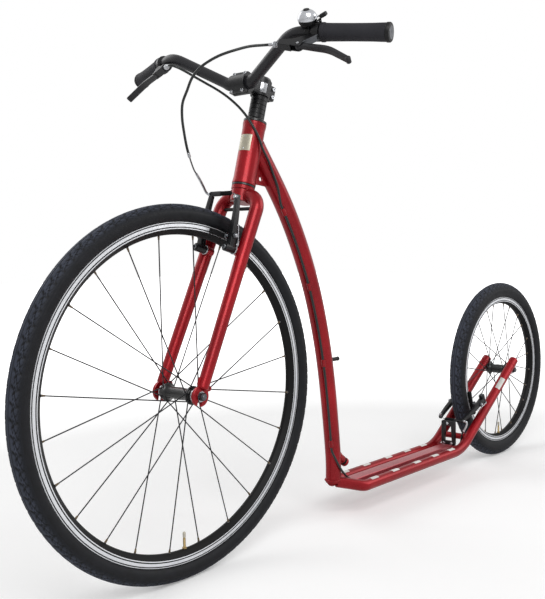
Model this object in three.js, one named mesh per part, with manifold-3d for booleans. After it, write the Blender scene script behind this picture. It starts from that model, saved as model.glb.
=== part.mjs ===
// Kick bike: an adult footbike with a low two-tube deck, a large front wheel and a small rear one.
// Lengths are millimetres. +X points forward, +Y to the rider's left and +Z up.
// The origin lies on the floor, below the middle of the bike's length.
import * as THREE from 'three';
import { mergeVertices } from 'three/addons/utils/BufferGeometryUtils.js';
import Module from 'manifold-3d';

const wasm = await Module();
wasm.setup();

// Clearances, counts and overruns that serve every piece
const degree = Math.PI / 180;
const seatGap = 0.3;
const cutOverrun = 6;
const weldOverlap = 2;
const mergeDistance = 0.0001;
const forgedChamferShare = 0.35;
const bendStep = 18 * degree;
const roundSides = 12;
const largeSides = 16;
const smallSides = 8;
const arcSegments = 3;
const cableSides = 8;
const sides = [{ name: 'left', sign: 1 }, { name: 'right', sign: -1 }];

// Wheels and tyres
const wheelbase = 1210;
const frontTyreRadius = 350;
const frontTyreWidth = 40;
const frontTyreHeight = 39;
const frontRimDepth = 23.3;
const rearTyreRadius = 250;
const rearTyreWidth = 42;
const rearTyreHeight = 47;
const rearRimDepth = 19.1;
const rimWidth = 24;
const rimSpine = 10;
const rimWall = 2.5;
const rimLip = 6;
const brakeTrackHeight = 13;
const tyreLipClearance = 1.5;
const tyreWrap = 135 * degree;
const tyreFacets = 6;
const frontRimFacets = 40;
const rearRimFacets = 32;
const valveRadius = 3;
const valveLength = 32;
const valveCapLength = 10;
const valveStemShare = 0.8;

// Hubs, spokes and axles
const spokeCount = 24;
const spokeRadius = 1;
const spokeSides = 3;
const spokeFlangeInset = 2.5;
const frontSpokeLead = 52 * degree;
const rearSpokeLead = 64 * degree;
const frontSpokePhase = 82.6 * degree;
const rearSpokePhase = 82.6 * degree;
const hubBarrelRadius = 12;
const hubFlangeRadius = 17.5;
const hubFlangeWidth = 3.4;
const hubCollarRadius = 13.5;
const hubLocknutRadius = 7;
const frontLocknutLength = 4.7;
const frontFlangeInset = 12;
const rearCollarClearance = 0.4;
const rearFlangeInset = 4;
const axleRadius = 4.5;
const axleTail = 2;
const axleNutRadius = 8;
const axleNutHeight = 7;
const axleWasherRadius = 9.5;
const axleWasherThickness = 1.2;
const hexSides = 6;

// Steering: the tilt of the head and the fork's reach ahead of it
const headTilt = 16 * degree;
const forkOffset = 63.5;
const steererRadius = 14.3;

// Heights along the steering axis, from the foot point level with the front axle
const crownTyreClearance = 38;
const crownHeight = 31.7;
const crownRingHeight = 7;
const crownStep = 1;
const crownRingLip = 1.5;
const lowerCupHeight = 4;
const headTubeLength = 127.2;
const headTubeWall = 5;
const headTubeFlare = 1;
const headTubeFlareLength = 12;
const headTubeRoom = 3.2;
const headCupLip = 0.7;
const upperCupHeight = 5.2;
const upperConeHeight = 4;
const upperConeLip = 0.5;
const spacerCount = 5;
const spacerStackHeight = 46.4;
const spacerWall = 2.2;
const spacerGroove = 1.4;
const stemClampHeight = 34;
const stemClampWall = 5.2;
const steererTopDrop = 1;
const stemCapWall = 2.7;
const stemCapHeight = 6;
const stemCapEdge = 1.5;

// Fork legs, their dropouts and brake bosses
const legTopSpread = 8;
const legShoulderRise = 13;
const legShoulderSpread = 49.6;
const legShoulderSetback = 1.9;
const legShoulderBendRadius = 39;
const legEndHeight = 17;
const legEndSetback = 1.3;
const legEndOutset = 4.8;
const legTopRadius = 13.8;
const legEndRadius = 11;
const legSides = 12;
const legMiddleShare = 0.55;
const frontDropoutInner = 51;
const dropoutThickness = 6;
const frontDropoutRadius = 19;
const frontDropoutNeck = 12;
const eyeletRadius = 5;
const eyeletHoleRadius = 2.6;
const frontEyeletSetback = 17;
const frontEyeletRise = 17;
const bridgeRodRadius = 3.5;
const bridgeRodDrop = 14;

// Handlebar and stem front
const barClampReach = 54.5;
const barClampRise = 5.5;
const barRadius = 11.1;
const barBulge = 1.6;
const barBulgeHalfWidth = 26;
const barCentreHalfWidth = 28;
const barCentreBendRadius = 40;
const barElbowBendRadius = 60;
const barElbowReach = 104;
const barElbowSpread = 163;
const barElbowRise = 56.5;
const barBackSweep = 19.7 * degree;
const barSides = 12;
const gripStart = 58.5;
const gripLength = 130;
const gripWall = 5.4;
const gripWaistDepth = 0.9;
const gripCollar = 7;
const gripCollarFadeShare = 1.5;
const gripCollarLip = 0.9;
const gripEndWall = 4;
const stemFrontWall = 5.8;
const stemFrontWidth = 43;
const stemLugRise = 2;
const stemLugDepth = 8;
const stemSplit = 2;
const stemNeckHeight = 15;
const stemNeckWidth = 13;
const stemRearBoxDepth = 31;
const stemRearBoxWidth = 18;
const stemRearBoxHeight = 30;
const stemRearSlit = 2;

// Brake levers: places along the grip line and away from it
const leverPitch = 64 * degree;
const leverClampGap = 3;
const leverClampWidth = 12;
const leverClampWall = 5.4;
const leverPivotPlace = -33;
const leverPivotDrop = 38;
const leverBodyThickness = 14;
const leverBodyRadius = 8;
const leverBodyEnd = -72;
const leverBodyEndRadius = 6;
const leverBodyBackShare = 1.5;
const leverPinRadius = 2.5;
const leverSlot = 9;
const leverSlotClearance = 0.45;
const leverSlotEnd = 243 * degree;
const leverBladeThickness = 8;
const leverBladeWidth = 5;
const leverBladeWidthShares = [1.15, 0.8];
const leverBladeChamferShare = 0.6;
const leverBladeHubRadius = 7;
const leverBladeBendPlace = 28;
const leverBladeBendDrop = 48;
const leverBladeTipPlace = 72;
const leverBladeTipDrop = 75;
const leverBladeBendRadius = 70;
const leverBallRadius = 5.5;
const adjusterLength = 12;
const adjusterRadius = 5;
const adjusterCollar = 4;
const adjusterNeckShare = 0.7;
const adjusterNeckRiseShare = 1.4;

// Bell on the left of the bar
const bellClampGap = 5;
const bellClampWidth = 8;
const bellClampWall = 2.9;
const bellTilt = 42 * degree;
const bellBaseHeight = 18.5;
const bellBaseRadius = 9;
const bellBaseThickness = 3;
const bellStudRadius = 2;
const bellRadius = 18;
const bellHeight = 14;
const bellWall = 1.6;
const bellLift = 3;
const strikerStand = 4;
const strikerPinRise = 3.1;
const strikerLugDrop = 3.2;
const strikerPinRadius = 1.6;
const strikerHubRadius = 3.4;
const strikerHubWidth = 5;
const strikerBallRadius = 2.6;
const strikerBallShare = 0.536;
const strikerBallGap = 0.6;
const strikerThumbReach = 11;
const strikerThumbWidth = 8;
const strikerArmRadius = 1.6;

// Cables
const cableRadius = 2.5;
const cableSideAngle = 33 * degree;
const frontCableSteps = 34;
const upperCableSteps = 30;
const lowerCableSteps = 54;
const cableLeadIn = 9;
const lowerCableShares = [0.781, 0.715, 0.628, 0.539, 0.457, 0.381, 0.321, 0.226, 0.139, 0.109];
const underDeckShares = [0.41, 0.71];
const underDeckSide = 23;
const noodleRadius = 2.5;
const noodleSteps = 8;
const noodleLeadLength = 5.5;

// Brakes: heights are measured from the brake track towards the rim's far side
const brakeArmLength = 105;
const brakePivotDrop = 26;
const brakePivotSpread = 40;
const frontBrakeSetback = 32.5;
const rearBrakeSetback = 4;
const rearBrakeLean = 11.256 * degree;
const brakeBarrelLength = 27;
const brakeBarrelRadius = 8;
const brakeStudRadius = 4;
const brakeBossRadius = 8.5;
const rearBossReach = 13.6;
const brakeArmLean = 4;
const brakeArmBow = 3;
const brakeArmFootHalfWidth = 7;
const brakeArmTopHalfWidth = 4.5;
const brakeArmFootHalfDepth = 6.5;
const brakeArmTopHalfDepth = 4.5;
const brakeArmStations = 6;
const padRimClearance = 1.7;
const padThickness = 9;
const padHalfHeight = 4.5;
const padTrackDrop = 0.7;
const padHalfLength = 34;
const padPostRadius = 3.2;
const padPostLength = 41;
const padWasherRadius = 6.5;
const padNutRadius = 5.6;
const padNutHeight = 4.5;
const linkLength = 26;
const linkHeight = 9;
const linkThickness = 4;
const linkHoleRadius = 1.8;
const bootLength = 27;
const bootRadius = 4.6;
const bootNeckRadius = 3.2;
const bootRings = 4;
const bootTaperShare = 0.08;

// Down tube: its foot on the deck and its joint with the head tube
const tubeFootSetback = 6;
const tubeFootDrop = 4;
const tubeTopSetback = 11.4;
const tubeTopShare = 0.672;
const tubeFootRadius = 17.8;
const tubeTopRadius = 20;
const tubeStations = 13;
const tubeSides = 16;
const downTubeShares = [
  [0, 0], [-0.005, 0.06], [0.02, 0.164], [0.091, 0.351], [0.168, 0.475],
  [0.281, 0.6], [0.436, 0.72], [0.652, 0.846], [1, 1],
];
const guideShares = [0.836, 0.616, 0.381, 0.128];
const guideLength = 16;
const guideRadius = 5;
const gussetThickness = 5;
const gussetDrop = 6;
const gussetHoleRadius = 4.5;
const gussetHoleShares = [0.3, 0.5, 0.7];
const gussetHoleRiseShare = 0.2;
const pegHeight = 363;
const pegRadius = 4.5;
const pegReach = 48;
const plugHeight = 152;
const plugBossReach = 33;
const plugReach = 22;
const plugRadius = 10;
const plugGroove = 1.5;
const plugPitch = 36 * degree;

// Deck: two round tubes that run on as the rear stays, and a flat rail between them
const deckTubeRadius = 12.6;
const deckSpread = 43.5;
const deckHeight = 69;
const deckNoseReach = 64;
const deckNoseRise = 19;
const deckTyreClearance = 151;
const deckFrontBendRadius = 30;
const deckBrakeClearance = 1.8;
const deckRearBendRadius = 120;
const deckSides = 12;
const stayAxleClearance = 2.4;
const stayOverhang = 24;
const railLead = 2;
const railHalfWidth = 16;
const railRise = 10.5;
const railDepth = 14;
const railWall = 2.5;
const railFootLength = 22;
const railFootThickness = 4;
const crossPlateLead = 3;
const crossPlateLength = 18;
const crossPlateRise = 7;
const crossPlateThickness = 4;
const bridgeReach = 46.5;
const stayBridgeRadius = 8;
const bracketSetback = 10;
const bracketDepth = 10;
const bracketHalfWidth = 20;
const bracketHeight = 66;
const bracketBar = 7;
const bracketHead = 13;
const bracketBaseHeight = 10;
const bracketCorner = 4;
const bracketWindowShare = 0.8;

// Rear dropouts
const rearDropoutOutset = 0.5;
const rearDropoutThickness = 5;
const rearDropoutRadius = 13;
const rearDropoutNeck = 11;
const rearEyeletForward = 20;
const rearEyeletRise = 16.5;
const rearEyeletNeck = 3;

// Wheels and hubs, worked out from the sizes above
const frontBeadRadius = frontTyreRadius - frontTyreHeight;
const rearBeadRadius = rearTyreRadius - rearTyreHeight;
const frontTrackRadius = frontBeadRadius + rimLip - brakeTrackHeight / 2 - rimWall / 2;
const rearTrackRadius = rearBeadRadius + rimLip - brakeTrackHeight / 2 - rimWall / 2;
const bikeLength = wheelbase + frontTyreRadius + rearTyreRadius;
const frontAxle = point(bikeLength / 2 - frontTyreRadius, 0, frontTyreRadius);
const rearAxle = point(rearTyreRadius - bikeLength / 2, 0, rearTyreRadius);
const axleSlotRadius = axleRadius + seatGap;
const spokeFlangeRadius = hubFlangeRadius - spokeFlangeInset;
const frontHubHalfWidth = frontDropoutInner - seatGap;
const frontCollarEnd = frontHubHalfWidth - frontLocknutLength;
const frontFlangePlace = frontCollarEnd - frontFlangeInset;
const rearDropoutPlace = deckSpread + rearDropoutOutset;
const rearHubHalfWidth = rearDropoutPlace - rearDropoutThickness / 2 - seatGap;
const rearCollarEnd = deckSpread - deckTubeRadius - rearCollarClearance;
const rearFlangePlace = rearCollarEnd - rearFlangeInset;

// Steering column: radii around the steerer, and heights from the fork's crown to the bar
const spacerRadius = steererRadius + spacerWall;
const upperConeRadius = spacerRadius + upperConeLip;
const stemClampRadius = steererRadius + stemClampWall;
const stemCapRadius = steererRadius + stemCapWall;
const headTubeBore = steererRadius + headTubeRoom;
const headTubeRadius = headTubeBore + headTubeWall;
const headCupRadius = headTubeRadius + headCupLip;
const crownRadius = headTubeRadius - crownStep;
const crownRingRadius = crownRadius + crownRingLip;
const crownBottom = frontTyreRadius + crownTyreClearance;
const crownTop = crownBottom + crownHeight;
const legShoulderHeight = crownBottom + legShoulderRise;
const legEndReach = forkOffset - legEndSetback;
const legEndSpread = frontDropoutInner + legEndOutset;
const bridgeRodHeight = crownBottom - bridgeRodDrop;
const lowerCupBottom = crownTop + seatGap;
const headTubeBottom = lowerCupBottom + lowerCupHeight + seatGap;
const headTubeTop = headTubeBottom + headTubeLength;
const upperCupBottom = headTubeTop + seatGap;
const spacerBottom = upperCupBottom + upperCupHeight + upperConeHeight + seatGap;
const stemBottom = spacerBottom + spacerStackHeight + seatGap;
const stemTop = stemBottom + stemClampHeight;
const barClampHeight = stemBottom + barClampRise;
const barElbowHeight = barClampHeight + barElbowRise;

// What is clamped on the bar
const barBulgeRadius = barRadius + barBulge;
const stemFrontRadius = barBulgeRadius + stemFrontWall;
const stemLugHeight = stemFrontRadius + stemLugRise;
const gripRadius = barRadius + gripWall;
const gripWaist = gripRadius - gripWaistDepth;
const gripCollarRadius = gripRadius + gripCollarLip;
const leverClampRadius = barRadius + leverClampWall;
const leverClampPlace = -leverClampGap - leverClampWidth / 2;
const bellClampRadius = barRadius + bellClampWall;
const bellPlace = leverClampPlace - leverClampWidth / 2 - bellClampGap - bellClampWidth / 2;
const strikerReach = bellRadius + strikerStand;
const strikerPinHeight = bellBaseHeight + strikerPinRise;
const strikerLugHeight = strikerPinHeight - strikerLugDrop;
const strikerBallHeight = bellBaseHeight + bellLift + bellHeight * strikerBallShare;
const strikerBallReach = bellRadius + strikerBallGap;

// Deck: its front keeps clear of the front tyre and its rear clear of the rear brake
const brakeReach = rearTrackRadius - brakePivotDrop + brakeArmLength;
const stayLift = deckTubeRadius + stayAxleClearance;
const deckFrontX = frontAxle.x - frontTyreRadius - deckTyreClearance;
const deckRearX = rearAxle.x + brakeReach + deckBrakeClearance;
const deckNoseX = deckFrontX + deckNoseReach;
const deckNoseHeight = deckHeight + deckNoseRise;
const railFrontX = deckFrontX + railLead;
const railTop = deckHeight + railRise;
const crossPlateFrontX = deckRearX + crossPlateLead;
const crossPlateTop = deckHeight + crossPlateRise;
const bracketX = crossPlateFrontX - bracketSetback;
const bracketTop = crossPlateTop + bracketHeight;
const tubeFootX = deckNoseX - tubeFootSetback;
const tubeFootZ = deckNoseHeight - tubeFootDrop;

// Finishes
const redPaint = { color: 0xa81824, roughness: 0.3, metalness: 0.55 };
const blackPaint = { color: 0x17181a, roughness: 0.4, metalness: 0.3 };
const blackPlastic = { color: 0x1b1c1e, roughness: 0.55, metalness: 0 };
const blackRubber = { color: 0x202123, roughness: 0.8, metalness: 0 };
const tyreRubber = { color: 0x2b2c2f, roughness: 0.85, metalness: 0 };
const silver = { color: 0xc4c7ca, roughness: 0.3, metalness: 0.9 };
const brass = { color: 0xb8893b, roughness: 0.35, metalness: 0.9 };
const cableSkin = { color: 0x14201f, roughness: 0.5, metalness: 0 };

// Small tools for points, solids and placing

function point(x, y, z) {
  return new THREE.Vector3(x, y, z);
}

function along(start, direction, distance) {
  return start.clone().addScaledVector(direction, distance);
}

function towards(start, end) {
  return end.clone().sub(start).normalize();
}

function withSign(vector, sign) {
  return point(vector.x, vector.y * sign, vector.z);
}

// Keeps only positions, joins equal corners and drops triangles that have closed up
function tidy(geometry) {
  const bare = new THREE.BufferGeometry();
  bare.setAttribute('position', geometry.attributes.position.clone());
  if (geometry.index) {
    bare.setIndex(geometry.index.clone());
  }
  const merged = mergeVertices(bare, mergeDistance);
  const source = merged.index.array;
  const kept = [];
  for (let i = 0; i < source.length; i += 3) {
    const [a, b, c] = [source[i], source[i + 1], source[i + 2]];
    if (a !== b && b !== c && a !== c) {
      kept.push(a, b, c);
    }
  }
  merged.setIndex(kept);
  return outward(merged);
}

function signedVolume(geometry) {
  const position = geometry.attributes.position;
  const index = geometry.index.array;
  const [a, b, c] = [point(0, 0, 0), point(0, 0, 0), point(0, 0, 0)];
  let total = 0;
  for (let i = 0; i < index.length; i += 3) {
    a.fromBufferAttribute(position, index[i]);
    b.fromBufferAttribute(position, index[i + 1]);
    c.fromBufferAttribute(position, index[i + 2]);
    total += a.dot(b.cross(c));
  }
  return total;
}

// Turns the faces round where the skin points inwards
function outward(geometry) {
  if (signedVolume(geometry) < 0) {
    geometry.setIndex(Array.from(geometry.index.array).reverse());
  }
  return geometry;
}

function solidOf(geometry) {
  const clean = tidy(geometry);
  return new wasm.Manifold(new wasm.Mesh({
    numProp: 3,
    vertProperties: Float32Array.from(clean.attributes.position.array),
    triVerts: Uint32Array.from(clean.index.array),
  }));
}

function geometryOf(solid) {
  const mesh = solid.getMesh();
  const geometry = new THREE.BufferGeometry();
  geometry.setAttribute('position', new THREE.BufferAttribute(Float32Array.from(mesh.vertProperties), 3));
  geometry.setIndex(Array.from(mesh.triVerts));
  return geometry;
}

function join(...geometries) {
  return geometryOf(geometries.map(solidOf).reduce((whole, next) => whole.add(next)));
}

function cut(body, ...tools) {
  return geometryOf(tools.map(solidOf).reduce((rest, tool) => rest.subtract(tool), solidOf(body)));
}

function placed(geometry, matrix) {
  return tidy(geometry).applyMatrix4(matrix);
}

// The same shape on the other side of the bike
function mirrored(geometry) {
  return outward(tidy(geometry).applyMatrix4(new THREE.Matrix4().makeScale(1, -1, 1)));
}

function sided(geometry, sign) {
  return sign > 0 ? geometry : mirrored(geometry);
}

// Adds a named mesh with a material of its own
function piece(parent, name, geometry, finish) {
  const shown = tidy(geometry);
  shown.computeVertexNormals();
  const mesh = new THREE.Mesh(shown, new THREE.MeshStandardMaterial(finish));
  mesh.name = name;
  parent.add(mesh);
  return mesh;
}

// Shapes: turned, swept, flat and round ones

// A profile of [radius, height] pairs turned about the line from start along direction
function turned(profile, start, direction, facets = roundSides) {
  const onAxis = profile[0][0] === 0 && profile[profile.length - 1][0] === 0;
  const outline = onAxis ? profile : [...profile, profile[0]];
  const shape = new THREE.LatheGeometry(outline.map(([r, h]) => new THREE.Vector2(r, h)), facets);
  const turn = new THREE.Quaternion().setFromUnitVectors(point(0, 1, 0), direction);
  return tidy(shape.applyQuaternion(turn).translate(start.x, start.y, start.z));
}

function rod(start, end, radius, facets = roundSides) {
  const length = start.distanceTo(end);
  return turned([[0, 0], [radius, 0], [radius, length], [0, length]], start, towards(start, end), facets);
}

function ball(centre, radius, facets = smallSides) {
  return tidy(new THREE.SphereGeometry(radius, facets, facets / 2).translate(centre.x, centre.y, centre.z));
}

function block(low, high) {
  const size = high.clone().sub(low);
  const middle = low.clone().add(high).multiplyScalar(0.5);
  return tidy(new THREE.BoxGeometry(size.x, size.y, size.z).translate(middle.x, middle.y, middle.z));
}

// A flat outline raised to a thickness: its own x and y lie along the two directions given,
// and the thickness is shared out on both sides of the origin
function plate(shape, thickness, origin, across, up) {
  const normal = across.clone().cross(up);
  const settings = { depth: thickness, bevelEnabled: false, curveSegments: arcSegments };
  const flat = new THREE.ExtrudeGeometry(shape, settings);
  const frame = new THREE.Matrix4().makeBasis(across, up, normal).setPosition(origin);
  return placed(flat.translate(0, 0, -thickness / 2), frame);
}

// A straight run through corners with a round bend of its own radius at each corner
function bentPath(corners, bends) {
  const stations = [{ place: corners[0], heading: towards(corners[0], corners[1]) }];
  for (let i = 1; i < corners.length - 1; i += 1) {
    const before = towards(corners[i - 1], corners[i]);
    const after = towards(corners[i], corners[i + 1]);
    const turn = before.angleTo(after);
    const bend = bends[i - 1];
    const start = along(corners[i], before, -bend * Math.tan(turn / 2));
    const axis = before.clone().cross(after).normalize();
    const inward = axis.clone().cross(before);
    const centre = along(start, inward, bend);
    const steps = Math.max(1, Math.round(turn / bendStep));
    for (let k = 0; k <= steps; k += 1) {
      const angle = turn * k / steps;
      const arm = inward.clone().negate().applyAxisAngle(axis, angle);
      stations.push({ place: along(centre, arm, bend), heading: before.clone().applyAxisAngle(axis, angle) });
    }
  }
  const last = corners.length - 1;
  stations.push({ place: corners[last], heading: towards(corners[last - 1], corners[last]) });
  return stations;
}

// Stations at even steps along a smooth curve
function curveStations(curve, count) {
  return Array.from({ length: count + 1 }, (_, i) => ({
    place: curve.getPointAt(i / count),
    heading: curve.getTangentAt(i / count),
  }));
}

// Extra stations inside a long straight run, so that a taper can bend there
function divided(stations, index, share) {
  const [a, b] = [stations[index], stations[index + 1]];
  const middle = { place: a.place.clone().lerp(b.place, share), heading: b.heading.clone() };
  return [...stations.slice(0, index + 1), middle, ...stations.slice(index + 1)];
}

// A closed skin carried along stations: outlineAt gives the section's points for a share of the
// length, and the section is carried without twist from the side direction given at the start
function sweep(stations, outlineAt, side) {
  const lengths = [0];
  for (let i = 1; i < stations.length; i += 1) {
    lengths.push(lengths[i - 1] + stations[i].place.distanceTo(stations[i - 1].place));
  }
  const total = lengths[lengths.length - 1];
  const across = side.clone();
  const rings = stations.map(({ place, heading }, i) => {
    across.addScaledVector(heading, -across.dot(heading)).normalize();
    const up = heading.clone().cross(across);
    return outlineAt(lengths[i] / total).map(([u, v]) => along(along(place, across, u), up, v));
  });
  return loft(rings);
}

// A closed skin over rings of the same count, with flat ends
function loft(rings) {
  const count = rings[0].length;
  const last = (rings.length - 1) * count;
  const faces = [];
  for (let i = 0; i < rings.length - 1; i += 1) {
    for (let j = 0; j < count; j += 1) {
      const [a, b] = [i * count + j, i * count + (j + 1) % count];
      faces.push(a, b, b + count, a, b + count, a + count);
    }
  }
  for (let j = 1; j < count - 1; j += 1) {
    faces.push(0, j + 1, j, last, last + j, last + j + 1);
  }
  const geometry = new THREE.BufferGeometry();
  const numbers = rings.flat().flatMap((corner) => [corner.x, corner.y, corner.z]);
  geometry.setAttribute('position', new THREE.Float32BufferAttribute(numbers, 3));
  geometry.setIndex(faces);
  return outward(geometry);
}

function circleOutline(radius, count) {
  return Array.from({ length: count }, (_, i) => {
    const angle = 2 * Math.PI * i / count;
    return [radius * Math.cos(angle), radius * Math.sin(angle)];
  });
}

// A rectangle with its corners cut off, for forged arms and necks
function chamferedOutline(halfWide, halfDeep, chamferShare = forgedChamferShare) {
  const c = chamferShare * Math.min(halfWide, halfDeep);
  const [w, d] = [halfWide, halfDeep];
  return [[w, c - d], [w, d - c], [w - c, d], [c - w, d], [-w, d - c], [-w, c - d], [c - w, -d], [w - c, -d]];
}

// A round tube along stations, from one radius to another
function tube(stations, startRadius, endRadius, count, grow = 0) {
  const radiusAt = (share) => startRadius + (endRadius - startRadius) * share + grow;
  return sweep(stations, (share) => circleOutline(radiusAt(share), count), sideOf(stations[0].heading));
}

function sideOf(heading) {
  const spare = Math.abs(heading.y) < Math.SQRT1_2 ? point(0, 1, 0) : point(0, 0, 1);
  return spare.cross(heading).normalize();
}

// A cable of round section through points chosen along its route
function cable(points, radius, steps) {
  const section = new THREE.Shape(circleOutline(radius, cableSides).map(([u, v]) => new THREE.Vector2(u, v)));
  const route = new THREE.CatmullRomCurve3(points, false, 'centripetal');
  return tidy(new THREE.ExtrudeGeometry(section, { steps, extrudePath: route, bevelEnabled: false }));
}

function roundedShape(halfWide, low, high, corner) {
  const shape = new THREE.Shape();
  shape.moveTo(-halfWide + corner, low);
  shape.lineTo(halfWide - corner, low);
  shape.absarc(halfWide - corner, low + corner, corner, -Math.PI / 2, 0);
  shape.absarc(halfWide - corner, high - corner, corner, 0, Math.PI / 2);
  shape.absarc(-halfWide + corner, high - corner, corner, Math.PI / 2, Math.PI);
  shape.absarc(-halfWide + corner, low + corner, corner, Math.PI, 3 * Math.PI / 2);
  return shape;
}

function holeAt(x, y, radius) {
  return new THREE.Path().absarc(x, y, radius, 0, 2 * Math.PI, true);
}

// Wheels: built in a frame whose origin is the axle's middle and whose Y is the axle

function rimSection(beadRadius, rimDepth) {
  const outer = beadRadius + rimLip;
  const half = [
    [outer - rimDepth, rimSpine / 2], [outer - brakeTrackHeight, rimWidth / 2],
    [outer, rimWidth / 2], [outer, rimWidth / 2 - rimWall], [beadRadius, rimWidth / 2 - rimWall],
  ];
  return [...half.map(([r, y]) => [r, -y]), ...half.reverse()];
}

// The casing bulges over the rim's lips and its feet stand on the rim's bead seat
function tyreSection(tyreRadius, tyreWidth, beadRadius) {
  const lip = beadRadius + rimLip;
  const footHalf = rimWidth / 2 - rimWall - seatGap;
  const foot = beadRadius + seatGap;
  const rise = (tyreRadius - lip - tyreLipClearance) / (1 - Math.cos(tyreWrap));
  const bulge = [];
  for (let i = 0; i <= tyreFacets; i += 1) {
    const angle = tyreWrap * (2 * i / tyreFacets - 1);
    const radius = tyreRadius - rise + rise * Math.cos(angle);
    bulge.push([radius, tyreWidth / 2 * Math.sin(angle)]);
  }
  const neck = lip + seatGap;
  return [[foot, -footHalf], [neck, -footHalf], ...bulge, [neck, footHalf], [foot, footHalf]];
}

function hubShell(halfWidth, flangePlace, collarEnd) {
  const [inner, outer] = [flangePlace - hubFlangeWidth / 2, flangePlace + hubFlangeWidth / 2];
  const half = [
    [hubBarrelRadius, inner - hubFlangeWidth], [hubFlangeRadius, inner], [hubFlangeRadius, outer],
    [hubCollarRadius, outer], [hubCollarRadius, collarEnd], [hubLocknutRadius, collarEnd],
    [hubLocknutRadius, halfWidth], [axleSlotRadius, halfWidth],
  ];
  const profile = [...half.map(([r, y]) => [r, y]).reverse(), ...half.map(([r, y]) => [r, -y])];
  return turned(profile, point(0, 0, 0), point(0, 1, 0));
}

function onCircle(radius, angle, y) {
  return point(radius * Math.cos(angle), y, radius * Math.sin(angle));
}

// Spokes leave the two flanges in turn and lean round the hub, left and right by turns
function spokes(flangePlace, rimInner, lead, phase) {
  const wires = [];
  for (let k = 0; k < spokeCount; k += 1) {
    const rimAngle = phase - 2 * Math.PI * k / spokeCount;
    const hubAngle = rimAngle + (Math.floor(k / 2) % 2 ? lead : -lead);
    const side = k % 2 ? 1 : -1;
    const hubEnd = onCircle(spokeFlangeRadius, hubAngle, side * flangePlace);
    const rimEnd = onCircle(rimInner - seatGap, rimAngle, side * rimSpine / 4);
    wires.push(rod(hubEnd, rimEnd, spokeRadius, spokeSides));
  }
  return wires;
}

function valve(rimSeat) {
  const top = rimSeat - seatGap;
  const stem = valveRadius * valveStemShare;
  const profile = [
    [0, 0], [stem, 0], [stem, valveLength - valveCapLength], [valveRadius, valveLength - valveCapLength],
    [valveRadius, valveLength], [0, valveLength],
  ];
  return turned(profile, point(0, 0, -top), point(0, 0, 1), smallSides);
}

function wheel(parent, name, size) {
  const group = new THREE.Group();
  group.position.copy(size.place);
  group.rotation.y = size.turn;
  const origin = point(0, 0, 0);
  const axis = point(0, 1, 0);
  const rimInner = (size.beadRadius + rimLip - size.rimDepth) * Math.cos(Math.PI / size.facets);
  const tyre = tyreSection(size.tyreRadius, size.tyreWidth, size.beadRadius);
  const rim = rimSection(size.beadRadius, size.rimDepth);
  const hub = hubShell(size.hubHalfWidth, size.flangePlace, size.collarEnd);
  const wires = spokes(size.flangePlace, rimInner, size.lead, size.phase);
  piece(group, `${name}_tyre`, turned(tyre, origin, axis, size.facets), tyreRubber);
  piece(group, `${name}_rim`, turned(rim, origin, axis, size.facets), blackPaint);
  piece(group, `${name}_hub`, join(hub, ...wires), blackPaint);
  piece(group, `${name}_valve`, valve(size.beadRadius + rimLip - size.rimDepth), brass);
  parent.add(group);
}

// A threaded axle with its nuts and washers outside the dropouts, about an origin on the axle
function axleWithNuts(dropoutOuter) {
  const nutStart = dropoutOuter + seatGap;
  const washerEnd = nutStart + axleWasherThickness;
  const nutEnd = washerEnd + axleNutHeight;
  const end = nutEnd + axleTail;
  const core = rod(point(0, -end, 0), point(0, end, 0), axleRadius);
  const fittings = sides.flatMap(({ sign }) => [
    rod(point(0, sign * nutStart, 0), point(0, sign * washerEnd, 0), axleWasherRadius),
    rod(point(0, sign * (washerEnd - seatGap), 0), point(0, sign * nutEnd, 0), axleNutRadius, hexSides),
  ]);
  return join(core, ...fittings);
}

// Steering frame: its Z is the steering axis, and its origin is level with the front axle
const steeringFoot = point(
  frontAxle.x - forkOffset * Math.cos(headTilt),
  0,
  frontAxle.z - forkOffset * Math.sin(headTilt),
);
const steeringMatrix = new THREE.Matrix4().makeRotationY(-headTilt).setPosition(steeringFoot);
const steeringAxis = point(0, 0, 1);
const tubeTopHeight = headTubeBottom + headTubeLength * tubeTopShare;
const tubeTop = point(-tubeTopSetback, 0, tubeTopHeight).applyMatrix4(steeringMatrix);

function steeringGroup() {
  const group = new THREE.Group();
  group.position.copy(steeringFoot);
  group.rotation.y = -headTilt;
  return group;
}

function onAxis(height) {
  return point(0, 0, height);
}

function headTubeShell(grow = 0) {
  const flared = headTubeRadius + headTubeFlare + grow;
  const plain = headTubeRadius + grow;
  const bore = grow ? 0 : headTubeBore;
  const top = headTubeLength + grow;
  const profile = [
    [bore, -grow], [flared, -grow], [plain, headTubeFlareLength],
    [plain, headTubeLength - headTubeFlareLength], [flared, top], [bore, top],
  ];
  return turned(profile, onAxis(headTubeBottom), steeringAxis, largeSides);
}

function headsetLower() {
  const bore = steererRadius + seatGap;
  const profile = [[bore, 0], [headCupRadius, 0], [headCupRadius, lowerCupHeight], [bore, lowerCupHeight]];
  return turned(profile, onAxis(lowerCupBottom), steeringAxis, largeSides);
}

function headsetUpper() {
  const bore = steererRadius + seatGap;
  const top = upperCupHeight + upperConeHeight;
  const profile = [
    [bore, 0], [headCupRadius, 0], [headCupRadius, upperCupHeight], [upperConeRadius, top], [bore, top],
  ];
  return turned(profile, onAxis(upperCupBottom), steeringAxis, largeSides);
}

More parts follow.
